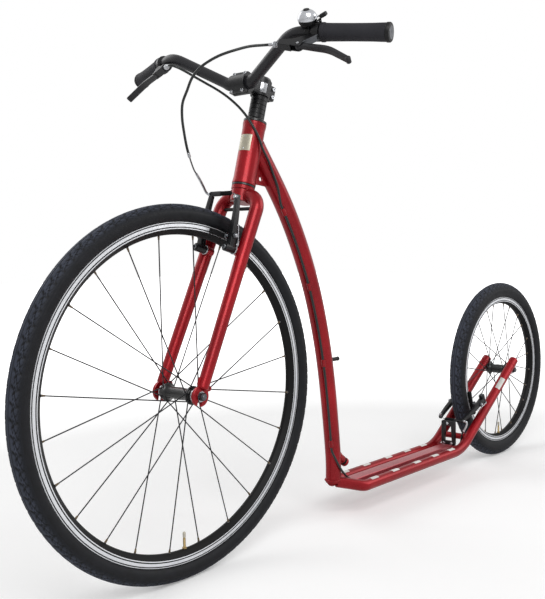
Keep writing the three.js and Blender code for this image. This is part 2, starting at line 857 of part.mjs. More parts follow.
// The stack is shown as rings with a groove between each two
function spacerStack() {
  const pitch = spacerStackHeight / spacerCount;
  const bore = steererRadius + seatGap;
  const outside = [];
  for (let i = 0; i < spacerCount; i += 1) {
    const low = pitch * i;
    outside.push([spacerRadius - spacerGroove, low], [spacerRadius, low + spacerGroove]);
    outside.push([spacerRadius, low + pitch - spacerGroove]);
  }
  outside.push([spacerRadius - spacerGroove, spacerStackHeight]);
  const profile = [[bore, 0], ...outside, [bore, spacerStackHeight]];
  return turned(profile, onAxis(spacerBottom), steeringAxis, largeSides);
}

function crownAndSteerer() {
  const height = crownTop - crownBottom;
  const steererEnd = stemTop - steererTopDrop - crownBottom;
  const chamfer = crownRingHeight / 2;
  const profile = [
    [0, 0], [crownRadius - chamfer, 0], [crownRadius, chamfer], [crownRadius, height - crownRingHeight],
    [crownRingRadius, height - crownRingHeight + chamfer / 2], [crownRingRadius, height],
    [steererRadius, height], [steererRadius, steererEnd], [0, steererEnd],
  ];
  return turned(profile, onAxis(crownBottom), steeringAxis, largeSides);
}

function legStations() {
  const corners = [
    point(0, legTopSpread, legShoulderHeight),
    point(-legShoulderSetback, legShoulderSpread, legShoulderHeight),
    point(legEndReach, legEndSpread, legEndHeight),
  ];
  const stations = bentPath(corners, [legShoulderBendRadius]);
  return divided(stations, stations.length - 2, legMiddleShare);
}

function legTube(grow = 0) {
  return tube(legStations(), legTopRadius, legEndRadius, legSides, grow);
}

// Where the brake of a wheel sits, seen from that wheel's axle: X runs along the pivots, Z outwards
function brakePivot(trackRadius, setback) {
  return point(-setback, brakePivotSpread, trackRadius - brakePivotDrop);
}

function brakeBoss(root, start) {
  const stud = rod(root, along(root, point(1, 0, 0), brakeBarrelLength), brakeStudRadius);
  return join(rod(start, root, brakeBossRadius), stud);
}

// A plate round the axle with an open slot below it, joined to its tube by a neck
function frontDropout() {
  const shape = new THREE.Shape();
  shape.absarc(0, 0, frontDropoutRadius, 0, 2 * Math.PI);
  const y = frontDropoutInner + dropoutThickness / 2;
  const centre = point(forkOffset, y, 0);
  const disc = plate(shape, dropoutThickness, centre, point(1, 0, 0), point(0, 0, 1));
  const half = dropoutThickness / 2;
  const neck = block(
    point(forkOffset - frontDropoutNeck, y - half, 0),
    point(forkOffset + frontDropoutNeck / 2, y + half, legEndHeight + frontDropoutNeck),
  );
  const eyeAt = point(forkOffset - frontEyeletSetback, y, frontEyeletRise);
  const eye = rod(point(eyeAt.x, y - half, eyeAt.z), point(eyeAt.x, y + half, eyeAt.z), eyeletRadius);
  return { body: join(disc, neck, eye), hole: eyeletHole(eyeAt, half) };
}

function eyeletHole(centre, half) {
  const start = point(centre.x, centre.y - half - cutOverrun, centre.z);
  const end = point(centre.x, centre.y + half + cutOverrun, centre.z);
  return rod(start, end, eyeletHoleRadius, smallSides);
}

function axleSlot(centre, depth, halfWide) {
  const aside = point(0, halfWide, 0);
  const bore = rod(centre.clone().sub(aside), centre.clone().add(aside), axleSlotRadius);
  const mouth = block(
    point(centre.x - axleSlotRadius, centre.y - halfWide, centre.z - depth - cutOverrun),
    point(centre.x + axleSlotRadius, centre.y + halfWide, centre.z),
  );
  return join(bore, mouth);
}

function forkLeg() {
  const dropout = frontDropout();
  const pivot = brakePivot(frontTrackRadius, frontBrakeSetback);
  const root = point(forkOffset + pivot.x, pivot.y, pivot.z);
  const start = point(root.x - 2 * brakeBossRadius, root.y, root.z);
  const whole = join(legTube(), brakeBoss(root, start), dropout.body);
  const half = dropoutThickness;
  const slot = axleSlot(point(forkOffset, frontDropoutInner + half / 2, 0), frontDropoutRadius, 2 * half);
  const top = onAxis(crownTop);
  const crown = rod(onAxis(crownBottom - cutOverrun), top, crownRadius + seatGap, largeSides);
  const ring = rod(onAxis(crownTop - crownRingHeight), top, crownRingRadius + seatGap, largeSides);
  const hubRoom = rod(onHub(frontDropoutInner - cutOverrun), onHub(frontDropoutInner), axleNutRadius * 2);
  return cut(whole, crown, ring, slot, dropout.hole, hubRoom);
}

function onHub(y) {
  return point(forkOffset, y, 0);
}

function bridgeRod() {
  const left = point(0, legShoulderSpread, bridgeRodHeight);
  const bar = rod(withSign(left, -1), left, bridgeRodRadius);
  return cut(bar, legTube(seatGap), mirrored(legTube(seatGap)));
}

// The bar's grip line on the left: where it starts, where it heads and where the levers hang
const barElbow = point(barElbowReach, barElbowSpread, barElbowHeight);
const gripHeading = point(-Math.sin(barBackSweep), Math.cos(barBackSweep), 0);
const gripInner = along(barElbow, gripHeading, gripStart);
const gripForward = point(Math.cos(barBackSweep), Math.sin(barBackSweep), 0);
const leverDrop = gripForward.clone().multiplyScalar(Math.cos(leverPitch));
leverDrop.addScaledVector(steeringAxis, -Math.sin(leverPitch));
const leverHinge = gripHeading.clone().cross(leverDrop);

// A place by its distance outboard along the grip line and its distance from that line
function atLever(place, drop) {
  return along(along(gripInner, gripHeading, place), leverDrop, drop);
}

function barStations() {
  const ends = along(gripInner, gripHeading, gripLength - gripEndWall - seatGap);
  const left = [point(barClampReach, barCentreHalfWidth, barClampHeight), barElbow, ends];
  const right = left.map((corner) => withSign(corner, -1)).reverse();
  const halfBends = [barElbowBendRadius, barCentreBendRadius];
  return bentPath([...right, ...left], [...halfBends, ...halfBends.reverse()]);
}

function handlebar() {
  const [inner, outer] = [barClampReach, barBulgeHalfWidth];
  const taper = barBulgeRadius - barRadius;
  const profile = [
    [0, -outer], [barRadius, -outer], [barBulgeRadius, taper * 2 - outer],
    [barBulgeRadius, outer - taper * 2], [barRadius, outer], [0, outer],
  ];
  const bulge = turned(profile, point(inner, 0, barClampHeight), point(0, 1, 0), largeSides);
  return join(tube(barStations(), barRadius, barRadius, barSides), bulge);
}

function grip() {
  const bore = barRadius + seatGap;
  const profile = [
    [bore, 0], [gripCollarRadius, 0], [gripCollarRadius, gripCollar],
    [gripRadius, gripCollar * gripCollarFadeShare],
    [gripWaist, gripLength / 2], [gripRadius, gripLength - gripCollar],
    [gripRadius - gripEndWall / 2, gripLength], [0, gripLength],
    [0, gripLength - gripEndWall], [bore, gripLength - gripEndWall],
  ];
  return turned(profile, gripInner, gripHeading, largeSides);
}

function barBore(halfWidth, clearance) {
  const left = point(barClampReach, halfWidth + cutOverrun, barClampHeight);
  return rod(withSign(left, -1), left, barBulgeRadius + clearance, largeSides);
}

// The clamp's outline from the side: round, with lugs above and below for its bolts
function stemFrontBlock() {
  const shape = new THREE.Shape();
  const start = Math.acos(stemLugDepth / stemFrontRadius);
  shape.absarc(0, 0, stemFrontRadius, -start, start);
  shape.lineTo(stemLugDepth, stemLugHeight);
  shape.lineTo(-stemLugDepth, stemLugHeight);
  shape.absarc(0, 0, stemFrontRadius, Math.PI - start, Math.PI + start);
  shape.lineTo(-stemLugDepth, -stemLugHeight);
  shape.lineTo(stemLugDepth, -stemLugHeight);
  const origin = point(barClampReach, 0, barClampHeight);
  return plate(shape, stemFrontWidth, origin, point(1, 0, 0), point(0, 0, 1));
}

function stemNeck() {
  const start = point(0, 0, (stemBottom + stemTop) / 2);
  const end = point(barClampReach - stemFrontRadius / 2, 0, barClampHeight);
  const stations = [start, end].map((place) => ({ place, heading: towards(start, end) }));
  return sweep(stations, () => chamferedOutline(stemNeckWidth, stemNeckHeight), point(0, 1, 0));
}

function farBlock(fromX, toX) {
  const reach = 2 * stemFrontRadius;
  return block(
    point(barClampReach + fromX, -stemFrontWidth, barClampHeight - reach),
    point(barClampReach + toX, stemFrontWidth, barClampHeight + reach),
  );
}

function stemBody() {
  const clamp = rod(onAxis(stemBottom), onAxis(stemTop), stemClampRadius, largeSides);
  const middle = (stemBottom + stemTop) / 2;
  const box = block(
    point(-stemRearBoxDepth, -stemRearBoxWidth / 2, middle - stemRearBoxHeight / 2),
    point(0, stemRearBoxWidth / 2, middle + stemRearBoxHeight / 2),
  );
  const slit = block(
    point(-stemRearBoxDepth - cutOverrun, -stemRearSlit / 2, stemBottom - cutOverrun),
    point(0, stemRearSlit / 2, stemTop + cutOverrun),
  );
  const whole = join(clamp, box, stemNeck(), stemFrontBlock());
  const boreEnds = [onAxis(stemBottom - cutOverrun), onAxis(stemTop + cutOverrun)];
  const steererBore = rod(...boreEnds, steererRadius + seatGap, largeSides);
  const ahead = farBlock(-stemSplit / 2, 2 * stemFrontRadius);
  const belowStart = onAxis(stemBottom - 2 * stemClampRadius);
  const below = rod(belowStart, onAxis(stemBottom), stemClampRadius, largeSides);
  return cut(whole, slit, steererBore, barBore(stemFrontWidth, seatGap), ahead, below);
}

function stemFaceplate() {
  const behind = farBlock(-2 * stemFrontRadius, stemSplit / 2);
  return cut(stemFrontBlock(), barBore(stemFrontWidth, seatGap), behind);
}

function stemCap() {
  const profile = [
    [0, 0], [stemCapRadius, 0], [stemCapRadius, stemCapHeight - stemCapEdge],
    [stemCapRadius - stemCapEdge, stemCapHeight], [0, stemCapHeight],
  ];
  return turned(profile, onAxis(stemTop + seatGap), steeringAxis, largeSides);
}

// Brake levers

// The bracket reaches from its clamp to the blade's pivot and on to the cable's adjuster
function leverBracket() {
  const shape = new THREE.Shape();
  const clampFrom = leverClampPlace - leverClampWidth / 2;
  const clampTo = leverClampPlace + leverClampWidth / 2;
  const foot = barRadius + weldOverlap;
  shape.moveTo(clampTo, foot);
  shape.lineTo(leverPivotPlace + leverBodyRadius, leverPivotDrop);
  shape.absarc(leverPivotPlace, leverPivotDrop, leverBodyRadius, 0, Math.PI / 2);
  shape.lineTo(leverBodyEnd, leverPivotDrop + leverBodyEndRadius / 2);
  shape.lineTo(leverBodyEnd, leverPivotDrop - leverBodyBackShare * leverBodyEndRadius);
  shape.lineTo(leverPivotPlace - leverBodyRadius, leverPivotDrop - leverBodyBackShare * leverBodyRadius);
  shape.lineTo(clampFrom, foot);
  const body = plate(shape, leverBodyThickness, gripInner, gripHeading, leverDrop);
  const ring = rod(atLever(clampFrom, 0), atLever(clampTo, 0), leverClampRadius, largeSides);
  const boreEnds = [atLever(clampFrom - cutOverrun, 0), atLever(clampTo + cutOverrun, 0)];
  const bore = rod(...boreEnds, barRadius + seatGap, largeSides);
  const pivot = atLever(leverPivotPlace, leverPivotDrop);
  const pin = rod(
    along(pivot, leverHinge, -leverBodyThickness / 2),
    along(pivot, leverHinge, leverBodyThickness / 2),
    leverPinRadius,
    smallSides,
  );
  return join(cut(join(body, ring), bore, leverSlotBlock()), pin);
}

function leverSlotBlock() {
  const shape = new THREE.Shape();
  const room = leverBladeHubRadius + 2 * leverPinRadius;
  const far = leverBladeTipPlace;
  const hubRoom = leverBladeHubRadius + leverSlotClearance;
  shape.absarc(leverPivotPlace, leverPivotDrop, hubRoom, Math.PI / 2, leverSlotEnd);
  shape.lineTo(leverPivotPlace + room, leverPivotDrop - room);
  shape.lineTo(far, leverPivotDrop - room);
  shape.lineTo(far, leverPivotDrop + 2 * room);
  shape.lineTo(leverPivotPlace, leverPivotDrop + 2 * room);
  return plate(shape, leverSlot, gripInner, gripHeading, leverDrop);
}

function leverBlade() {
  const corners = [
    atLever(leverPivotPlace, leverPivotDrop),
    atLever(leverBladeBendPlace, leverBladeBendDrop),
    atLever(leverBladeTipPlace, leverBladeTipDrop),
  ];
  const stations = bentPath(corners, [leverBladeBendRadius]);
  const half = leverBladeThickness / 2;
  const [rootShare, tipShare] = leverBladeWidthShares;
  const width = (share) => leverBladeWidth * (rootShare + (tipShare - rootShare) * share);
  const section = (share) => chamferedOutline(width(share), half, leverBladeChamferShare);
  const blade = sweep(stations, section, leverDrop);
  const pivot = corners[0];
  const hub = rod(along(pivot, leverHinge, -half), along(pivot, leverHinge, half), leverBladeHubRadius);
  const reach = half + cutOverrun;
  const holeEnds = [along(pivot, leverHinge, -reach), along(pivot, leverHinge, reach)];
  const hole = rod(...holeEnds, leverPinRadius + seatGap, smallSides);
  return cut(join(blade, hub, ball(corners[2], leverBallRadius)), hole);
}

function adjusterStart() {
  return atLever(leverBodyEnd - seatGap, leverPivotDrop - leverBodyEndRadius / 2);
}

function barrelAdjuster() {
  const neck = adjusterRadius * adjusterNeckShare;
  const profile = [
    [0, 0], [adjusterRadius, 0], [adjusterRadius, adjusterCollar],
    [neck, adjusterCollar * adjusterNeckRiseShare], [neck, adjusterLength], [0, adjusterLength],
  ];
  return turned(profile, adjusterStart(), gripHeading.clone().negate(), smallSides);
}

function cableExit(sign) {
  return withSign(along(adjusterStart(), gripHeading, -adjusterLength - seatGap), sign);
}

// Bell: its own axis leans forward from the bar
const bellUp = gripForward.clone().multiplyScalar(Math.cos(bellTilt));
bellUp.addScaledVector(steeringAxis, Math.sin(bellTilt));
const bellSide = bellUp.clone().cross(gripHeading);

function atBell(outboard, height) {
  return along(along(gripInner, gripHeading, bellPlace + outboard), bellUp, height);
}

function bellClamp() {
  const half = bellClampWidth / 2;
  const ring = rod(atBell(-half, 0), atBell(half, 0), bellClampRadius, largeSides);
  const boreEnds = [atBell(-half - cutOverrun, 0), atBell(half + cutOverrun, 0)];
  const bore = rod(...boreEnds, barRadius + seatGap, largeSides);
  const post = rod(atBell(0, bellClampRadius - weldOverlap), atBell(0, bellBaseHeight), bellClampWidth / 2);
  const base = rod(atBell(0, bellBaseHeight - bellBaseThickness), atBell(0, bellBaseHeight), bellBaseRadius);
  const studFoot = atBell(0, bellBaseHeight - weldOverlap);
  const stud = rod(studFoot, atBell(0, bellTopInside()), bellStudRadius, smallSides);
  const lugEnd = atBell(strikerReach, strikerLugHeight);
  const ear = atBell(strikerReach, strikerLugHeight - strikerArmRadius);
  const lug = join(
    rod(atBell(0, strikerLugHeight), lugEnd, strikerArmRadius, smallSides),
    rod(ear, strikerPin(0), strikerHubRadius / 2, smallSides),
  );
  const pinEnds = [strikerPin(-strikerHubWidth / 2), strikerPin(strikerHubWidth)];
  const pin = rod(...pinEnds, strikerPinRadius, smallSides);
  return join(cut(join(ring, post), bore), base, stud, placedLug(lug), pin);
}

// The lug passes beside the striker's hub, and the pin stands on it
function placedLug(lug) {
  const shift = bellSide.clone().multiplyScalar(strikerHubWidth / 2 + strikerArmRadius + seatGap);
  return lug.translate(shift.x, shift.y, shift.z);
}

function strikerPin(aside) {
  return along(atBell(strikerReach, strikerPinHeight), bellSide, aside);
}

function bellTopInside() {
  return bellBaseHeight + bellLift + bellHeight - bellWall - 2 * seatGap;
}

function bellDome() {
  const outline = [];
  const inside = [];
  const steps = 5;
  for (let i = 0; i <= steps; i += 1) {
    const angle = Math.PI / 2 * i / steps;
    outline.push([bellRadius * Math.cos(angle), bellHeight * Math.sin(angle)]);
    inside.push([(bellRadius - bellWall) * Math.cos(angle), (bellHeight - bellWall) * Math.sin(angle)]);
  }
  outline[steps][0] = 0;
  inside[steps][0] = 0;
  return turned([...inside.reverse(), ...outline], atBell(0, bellBaseHeight + bellLift), bellUp, largeSides);
}

function bellStriker() {
  const hubStart = strikerPin(-strikerHubWidth / 2);
  const hubEnd = strikerPin(strikerHubWidth / 2);
  const hub = rod(hubStart, hubEnd, strikerHubRadius, smallSides);
  const boreEnds = [strikerPin(-strikerHubWidth), strikerPin(strikerHubWidth)];
  const bore = rod(...boreEnds, strikerPinRadius + seatGap, smallSides);
  const foot = atBell(strikerReach + strikerHubRadius - strikerPinRadius / 2, strikerPinHeight);
  const knee = atBell(strikerReach + strikerHubRadius, strikerBallHeight);
  const tip = atBell(strikerBallReach, strikerBallHeight);
  const arm = rod(foot, knee, strikerArmRadius, smallSides);
  const thumb = roundedShape(strikerThumbWidth / 2, 0, strikerThumbReach, strikerThumbWidth / 3);
  const tab = plate(thumb, strikerArmRadius, knee, bellSide, gripHeading);
  const finger = join(rod(knee, tip, strikerArmRadius, smallSides), ball(tip, strikerBallRadius));
  return cut(join(hub, arm, finger, tab), bore);
}

// Brakes: built in a frame whose origin is the axle, X along the pivots and Z out through the pads

function armCentre(pivot, share) {
  const y = pivot.y - brakeArmLean * share + brakeArmBow * Math.sin(Math.PI * share);
  return point(pivot.x + brakeBarrelLength / 2, y, pivot.z + brakeArmLength * share);
}

function padArcRadius(trackRadius) {
  return trackRadius - padTrackDrop;
}

function padPlace(pivot, trackRadius) {
  const x = pivot.x + brakeBarrelLength / 2;
  const radius = padArcRadius(trackRadius);
  return point(x, rimWidth / 2 + padRimClearance, Math.sqrt(radius * radius - x * x));
}

function brakeArm(pivot, trackRadius) {
  const stations = [];
  for (let i = 0; i <= brakeArmStations; i += 1) {
    const share = i / brakeArmStations;
    stations.push({ place: armCentre(pivot, share), heading: point(0, 0, 1) });
  }
  const wide = (s) => brakeArmFootHalfWidth + (brakeArmTopHalfWidth - brakeArmFootHalfWidth) * s;
  const deep = (s) => brakeArmFootHalfDepth + (brakeArmTopHalfDepth - brakeArmFootHalfDepth) * s;
  const arm = sweep(stations, (s) => chamferedOutline(wide(s), deep(s)), point(0, 1, 0));
  const onPivot = (reach) => along(pivot, point(1, 0, 0), reach);
  const barrel = rod(onPivot(seatGap), onPivot(brakeBarrelLength), brakeBarrelRadius);
  const bore = rod(onPivot(-cutOverrun), onPivot(brakeBarrelLength + cutOverrun), brakeStudRadius + seatGap);
  const pad = padPlace(pivot, trackRadius);
  const postEnd = along(pad, point(0, 1, 0), padPostLength + cutOverrun);
  const postHole = rod(pad, postEnd, padPostRadius + seatGap, smallSides);
  return cut(join(arm, barrel), bore, postHole);
}

// The shoe follows the rim, and its threaded post passes through the arm to a nut
function brakePad(pivot, trackRadius) {
  const pad = padPlace(pivot, trackRadius);
  const middle = Math.atan2(pad.z, pad.x);
  const radius = padArcRadius(trackRadius);
  const half = padHalfLength / radius;
  const shape = new THREE.Shape();
  shape.absarc(0, 0, radius + padHalfHeight, middle - half, middle + half);
  shape.absarc(0, 0, radius - padHalfHeight, middle + half, middle - half, true);
  const shoeMiddle = point(0, pad.y + padThickness / 2, 0);
  const shoe = plate(shape, padThickness, shoeMiddle, point(1, 0, 0), point(0, 0, 1));
  const arm = armCentre(pivot, brakePivotDrop / brakeArmLength).y;
  const inner = arm - brakeArmFootHalfWidth - seatGap - pad.y;
  const outer = arm + brakeArmFootHalfWidth + seatGap - pad.y;
  const profile = [
    [0, padThickness - weldOverlap], [padPostRadius, padThickness - weldOverlap],
    [padPostRadius, inner - padPostRadius], [padWasherRadius, inner - padPostRadius],
    [padWasherRadius, inner], [padPostRadius, inner], [padPostRadius, outer], [padNutRadius, outer],
    [padNutRadius, outer + padNutHeight], [0, outer + padNutHeight],
  ];
  return join(shoe, turned(profile, pad, point(0, 1, 0), smallSides));
}

// The link hooks over the top of the arm that carries the noodle, and a boot covers the inner wire
function brakeLink(pivot) {
  const top = armCentre(pivot, 1);
  const origin = point(top.x, top.y + brakeArmTopHalfWidth, top.z + seatGap + linkHeight / 2);
  const shape = new THREE.Shape();
  const half = linkHeight / 2;
  shape.moveTo(-linkLength, -half);
  shape.lineTo(0, -half);
  shape.lineTo(0, half);
  shape.lineTo(-linkLength, half);
  shape.absarc(-linkLength, 0, half, Math.PI / 2, 3 * Math.PI / 2);
  shape.holes.push(holeAt(-linkLength, 0, linkHoleRadius), holeAt(-linkLength / 2, 0, linkHoleRadius));
  return plate(shape, linkThickness, origin, point(0, 1, 0), point(0, 0, 1));
}

function linkEnd(pivot) {
  const top = armCentre(pivot, 1);
  return point(top.x, top.y + brakeArmTopHalfWidth, top.z + seatGap + linkHeight / 2);
}

function brakeBoot(pivot) {
  const start = along(linkEnd(pivot), point(0, -1, 0), linkLength + linkHeight / 2 + seatGap);
  const profile = [[0, 0], [bootRadius, 0]];
  const pitch = bootLength / bootRings;
  for (let i = 0; i < bootRings; i += 1) {
    const ring = bootRadius * (1 - bootTaperShare * (i + 1));
    profile.push([bootNeckRadius, pitch * (i + 1) - pitch / 2], [ring, pitch * (i + 1)]);
  }
  profile.push([0, bootLength]);
  return turned(profile, start, point(0, -1, 0), smallSides);
}

// One wheel's brake: the group's frame is the brake's own, and linkSign picks the arm with the noodle
function brake(parent, name, trackRadius, setback, linkSign, noodleBends) {
  const pivot = brakePivot(trackRadius, setback);
  for (const { name: sideName, sign } of sides) {
    const worldSide = parent.userData.flipped ? otherSide(sideName) : sideName;
    piece(parent, `${name}_brake_arm_${worldSide}`, sided(brakeArm(pivot, trackRadius), sign), blackPaint);
    piece(parent, `${name}_brake_pad_${worldSide}`, sided(brakePad(pivot, trackRadius), sign), blackRubber);
  }
  piece(parent, `${name}_brake_link`, sided(brakeLink(pivot), linkSign), blackPaint);
  piece(parent, `${name}_brake_boot`, sided(brakeBoot(pivot), linkSign), blackRubber);
  const noodle = cable(noodleRoute(pivot, noodleBends), noodleRadius, noodleSteps);
  piece(parent, `${name}_brake_noodle`, sided(noodle, linkSign), silver);
}

// The noodle's bends are given from its end, which faces the link squarely
function noodleRoute(pivot, bends) {
  const end = along(linkEnd(pivot), point(0, 1, 0), seatGap);
  return [...bends, noodleLeadIn, point(0, 0, 0)].map((bend) => bend.clone().add(end));
}

function otherSide(name) {
  return name === 'left' ? 'right' : 'left';
}

// Frame tubes, in the bike's own axes

function downTubeCurve() {
  const [run, rise] = [tubeTop.x - tubeFootX, tubeTop.z - tubeFootZ];
  const points = downTubeShares.map(([u, v]) => point(tubeFootX + run * u, 0, tubeFootZ + rise * v));
  return new THREE.CatmullRomCurve3(points, false, 'centripetal');
}

function downTubeSkin(grow = 0) {
  return tube(curveStations(downTubeCurve(), tubeStations), tubeFootRadius, tubeTopRadius, tubeSides, grow);
}

// The centre and heading of the down tube at a height above the floor
function onDownTube(height) {
  const curve = downTubeCurve();
  let [low, high] = [0, 1];
  for (let i = 0; i < 30; i += 1) {
    const middle = (low + high) / 2;
    if (curve.getPointAt(middle).z < height) {
      low = middle;
    } else {
      high = middle;
    }
  }
  return { place: curve.getPointAt(low), heading: curve.getTangentAt(low) };
}

// The cable lies on the tube's front, turned a little to the left
function cableOnTube(height) {
  const { place, heading } = onDownTube(height);
  const ahead = point(0, 1, 0).cross(heading);
  const away = ahead.multiplyScalar(Math.cos(cableSideAngle)).add(point(0, Math.sin(cableSideAngle), 0));
  return along(place, away, downTubeRadius(height) + cableRadius + 2 * seatGap);
}

function downTubeRadius(height) {
  const share = (height - tubeFootZ) / (tubeTop.z - tubeFootZ);
  return tubeFootRadius + (tubeTopRadius - tubeFootRadius) * share;
}

// Heights of the four guides above the floor, from the top one down
function guideHeights() {
  return guideShares.map(heightOnTube);
}

function heightOnTube(share) {
  return tubeFootZ + (tubeTop.z - tubeFootZ) * share;
}

function cableGuide(height) {
  const centre = cableOnTube(height);
  const { heading } = onDownTube(height);
  const half = guideLength / 2;
  return rod(along(centre, heading, -half), along(centre, heading, half), guideRadius, smallSides);
}

function downTube(lowerCable) {
  const guides = guideHeights().map((height) => cut(cableGuide(height), lowerCable));
  const boss = onDownTube(plugHeight).place;
  const bossEnd = along(boss, plugHeading(), plugBossReach);
  const whole = join(downTubeSkin(), ...guides, rod(boss, bossEnd, plugRadius));
  const head = placed(headTubeShell(seatGap), steeringMatrix);
  const decks = [deckTube(seatGap), mirrored(deckTube(seatGap))];
  return cut(whole, head, ...decks);
}

function plugHeading() {
  return point(-Math.cos(plugPitch), 0, -Math.sin(plugPitch));
}

function tubePlug() {
  const start = along(onDownTube(plugHeight).place, plugHeading(), plugBossReach + seatGap);
  const third = plugReach / 3;
  const profile = [
    [0, 0], [plugRadius, 0], [plugRadius, third], [plugRadius - plugGroove, third],
    [plugRadius - plugGroove, 2 * third], [plugRadius, 2 * third], [plugRadius, plugReach], [0, plugReach],
  ];
  return turned(profile, start, plugHeading());
}

function tubePeg() {
  const root = onDownTube(pegHeight).place;
  return cut(rod(root, along(root, point(-1, 0, 0), pegReach), pegRadius), downTubeSkin(seatGap));
}

// A web in the corner below the head tube, with holes along its lower edge
function headGusset() {
  const low = onAxis(headTubeBottom + gussetDrop).applyMatrix4(steeringMatrix);
  const back = onDownTube(low.z - gussetDrop).place;
  const top = onAxis((headTubeBottom + headTubeTop) / 2).applyMatrix4(steeringMatrix);
  const shape = new THREE.Shape();
  shape.moveTo(low.x, low.z);
  shape.lineTo(top.x, top.z);
  shape.lineTo(back.x, back.z);
  for (const share of gussetHoleShares) {
    const x = back.x + (low.x - back.x) * share;
    const z = back.z + (low.z - back.z) * share + (top.z - low.z) * gussetHoleRiseShare;
    shape.holes.push(holeAt(x, z, gussetHoleRadius));
  }
  const web = plate(shape, gussetThickness, point(0, 0, 0), point(1, 0, 0), point(0, 0, 1));
  return cut(web, placed(headTubeShell(seatGap), steeringMatrix), downTubeSkin(seatGap));
}

// The rear run climbs past the axle, clear above it by the stay's lift
function staySlope() {
  const [run, rise] = [deckRearX - rearAxle.x, rearAxle.z - deckHeight];
  return Math.atan2(rise, run) + Math.asin(stayLift / Math.hypot(run, rise));
}

function stayHeading() {
  return point(-Math.cos(staySlope()), 0, Math.sin(staySlope()));
}

function stayLength() {
  const distance = Math.hypot(deckRearX - rearAxle.x, rearAxle.z - deckHeight);
  return Math.sqrt(distance * distance - stayLift * stayLift) + stayOverhang;
}

function deckTubeStations() {
  const rear = point(deckRearX, deckSpread, deckHeight);
  const front = point(deckFrontX, deckSpread, deckHeight);
  const nose = point(deckNoseX, 0, deckNoseHeight);
  const noseStart = along(nose, towards(front, nose), deckTubeRadius);
  const stayEnd = along(rear, stayHeading(), stayLength());
  return bentPath([noseStart, front, rear, stayEnd], [deckFrontBendRadius, deckRearBendRadius]);
}

// The left tube stops at the middle plane, where it meets the right one
function deckTube(grow = 0) {
  const skin = tube(deckTubeStations(), deckTubeRadius, deckTubeRadius, deckSides, grow);
  const reach = 4 * deckTubeRadius;
  const beyond = block(
    point(deckNoseX - reach, -reach, deckNoseHeight - reach),
    point(deckNoseX + reach, seatGap / 2 - grow, deckNoseHeight + reach),
  );
  return cut(skin, beyond);
}

// The rear brake hangs from the stays, so its slope follows theirs
function rearBrakeMatrix() {
  const drop = staySlope() - rearBrakeLean;
  const radial = point(Math.cos(drop), 0, -Math.sin(drop));
  const upward = point(Math.sin(drop), 0, Math.cos(drop));
  return new THREE.Matrix4().makeBasis(upward, point(0, -1, 0), radial).setPosition(rearAxle);
}

function rearBrakeBoss() {
  const pivot = withSign(brakePivot(rearTrackRadius, rearBrakeSetback), -1);
  const start = along(pivot, point(-1, 0, 0), rearBossReach);
  return placed(brakeBoss(pivot, start), rearBrakeMatrix());
}

function rearDropout() {
  const half = rearDropoutThickness / 2;
  const shape = new THREE.Shape();
  shape.absarc(0, 0, rearDropoutRadius, 0, 2 * Math.PI);
  const centre = point(rearAxle.x, rearDropoutPlace, rearAxle.z);
  const disc = plate(shape, rearDropoutThickness, centre, point(1, 0, 0), point(0, 0, 1));
  const up = point(Math.sin(staySlope()), 0, Math.cos(staySlope()));
  const neckShape = roundedShape(rearDropoutNeck, 0, stayLift, weldOverlap);
  const neck = plate(neckShape, rearDropoutThickness, centre, stayHeading(), up);
  const eyeFoot = along(along(centre, stayHeading(), -rearEyeletForward), up, stayLift);
  const eye = along(eyeFoot, up, rearEyeletRise);
  const spread = point(0, half, 0);
  const ring = rod(eye.clone().sub(spread), eye.clone().add(spread), eyeletRadius);
  const stalk = rod(eyeFoot, along(eye, up, -eyeletRadius + rearEyeletNeck / 2), rearEyeletNeck, smallSides);
  return { body: join(disc, neck), eye: join(ring, stalk), hole: eyeletHole(eye, half) };
}

// Deck tube, stay, brake boss and dropout as one welded piece
function deckSide() {
  const dropout = rearDropout();
  const centre = point(rearAxle.x, rearDropoutPlace, rearAxle.z);
  const room = axleWasherRadius + seatGap;
  const nutRoom = rod(
    point(rearAxle.x, deckSpread - 2 * deckTubeRadius, rearAxle.z),
    point(rearAxle.x, deckSpread + 2 * deckTubeRadius, rearAxle.z),
    room,
  );
  const open = cut(join(deckTube(), rearBrakeBoss()), nutRoom);
  const slot = axleSlot(centre, rearDropoutRadius, rearDropoutThickness);
  return cut(join(open, dropout.body, dropout.eye), slot, dropout.hole);
}

// A channel with its flat side up, on a foot plate that joins the two tubes
function deckRail() {
  const rearEnd = crossPlateFrontX + seatGap;
  const channel = block(
    point(rearEnd, -railHalfWidth, railTop - railDepth),
    point(railFrontX, railHalfWidth, railTop),
  );
  const inside = block(
    point(rearEnd - cutOverrun, railWall - railHalfWidth, railTop - railDepth - cutOverrun),
    point(railFrontX + cutOverrun, railHalfWidth - railWall, railTop - railWall),
  );
  const footTop = railTop - railDepth + railWall / 2;
  const foot = block(
    point(railFrontX - railFootLength, -deckSpread, footTop - railFootThickness),
    point(railFrontX, deckSpread, footTop),
  );
  const tubes = [deckTube(seatGap), mirrored(deckTube(seatGap))];
  return cut(join(cut(channel, inside), foot), ...tubes);
}

function rearCrossPlate() {
  const bar = block(
    point(crossPlateFrontX - crossPlateLength, -deckSpread, crossPlateTop - crossPlateThickness),
    point(crossPlateFrontX, deckSpread, crossPlateTop),
  );
  return cut(bar, deckTube(seatGap), mirrored(deckTube(seatGap)));
}

function stayBridge() {
  const left = along(point(deckRearX, deckSpread, deckHeight), stayHeading(), bridgeReach);
  const bar = rod(withSign(left, -1), left, stayBridgeRadius);
  return cut(bar, deckTube(seatGap), mirrored(deckTube(seatGap)));
}

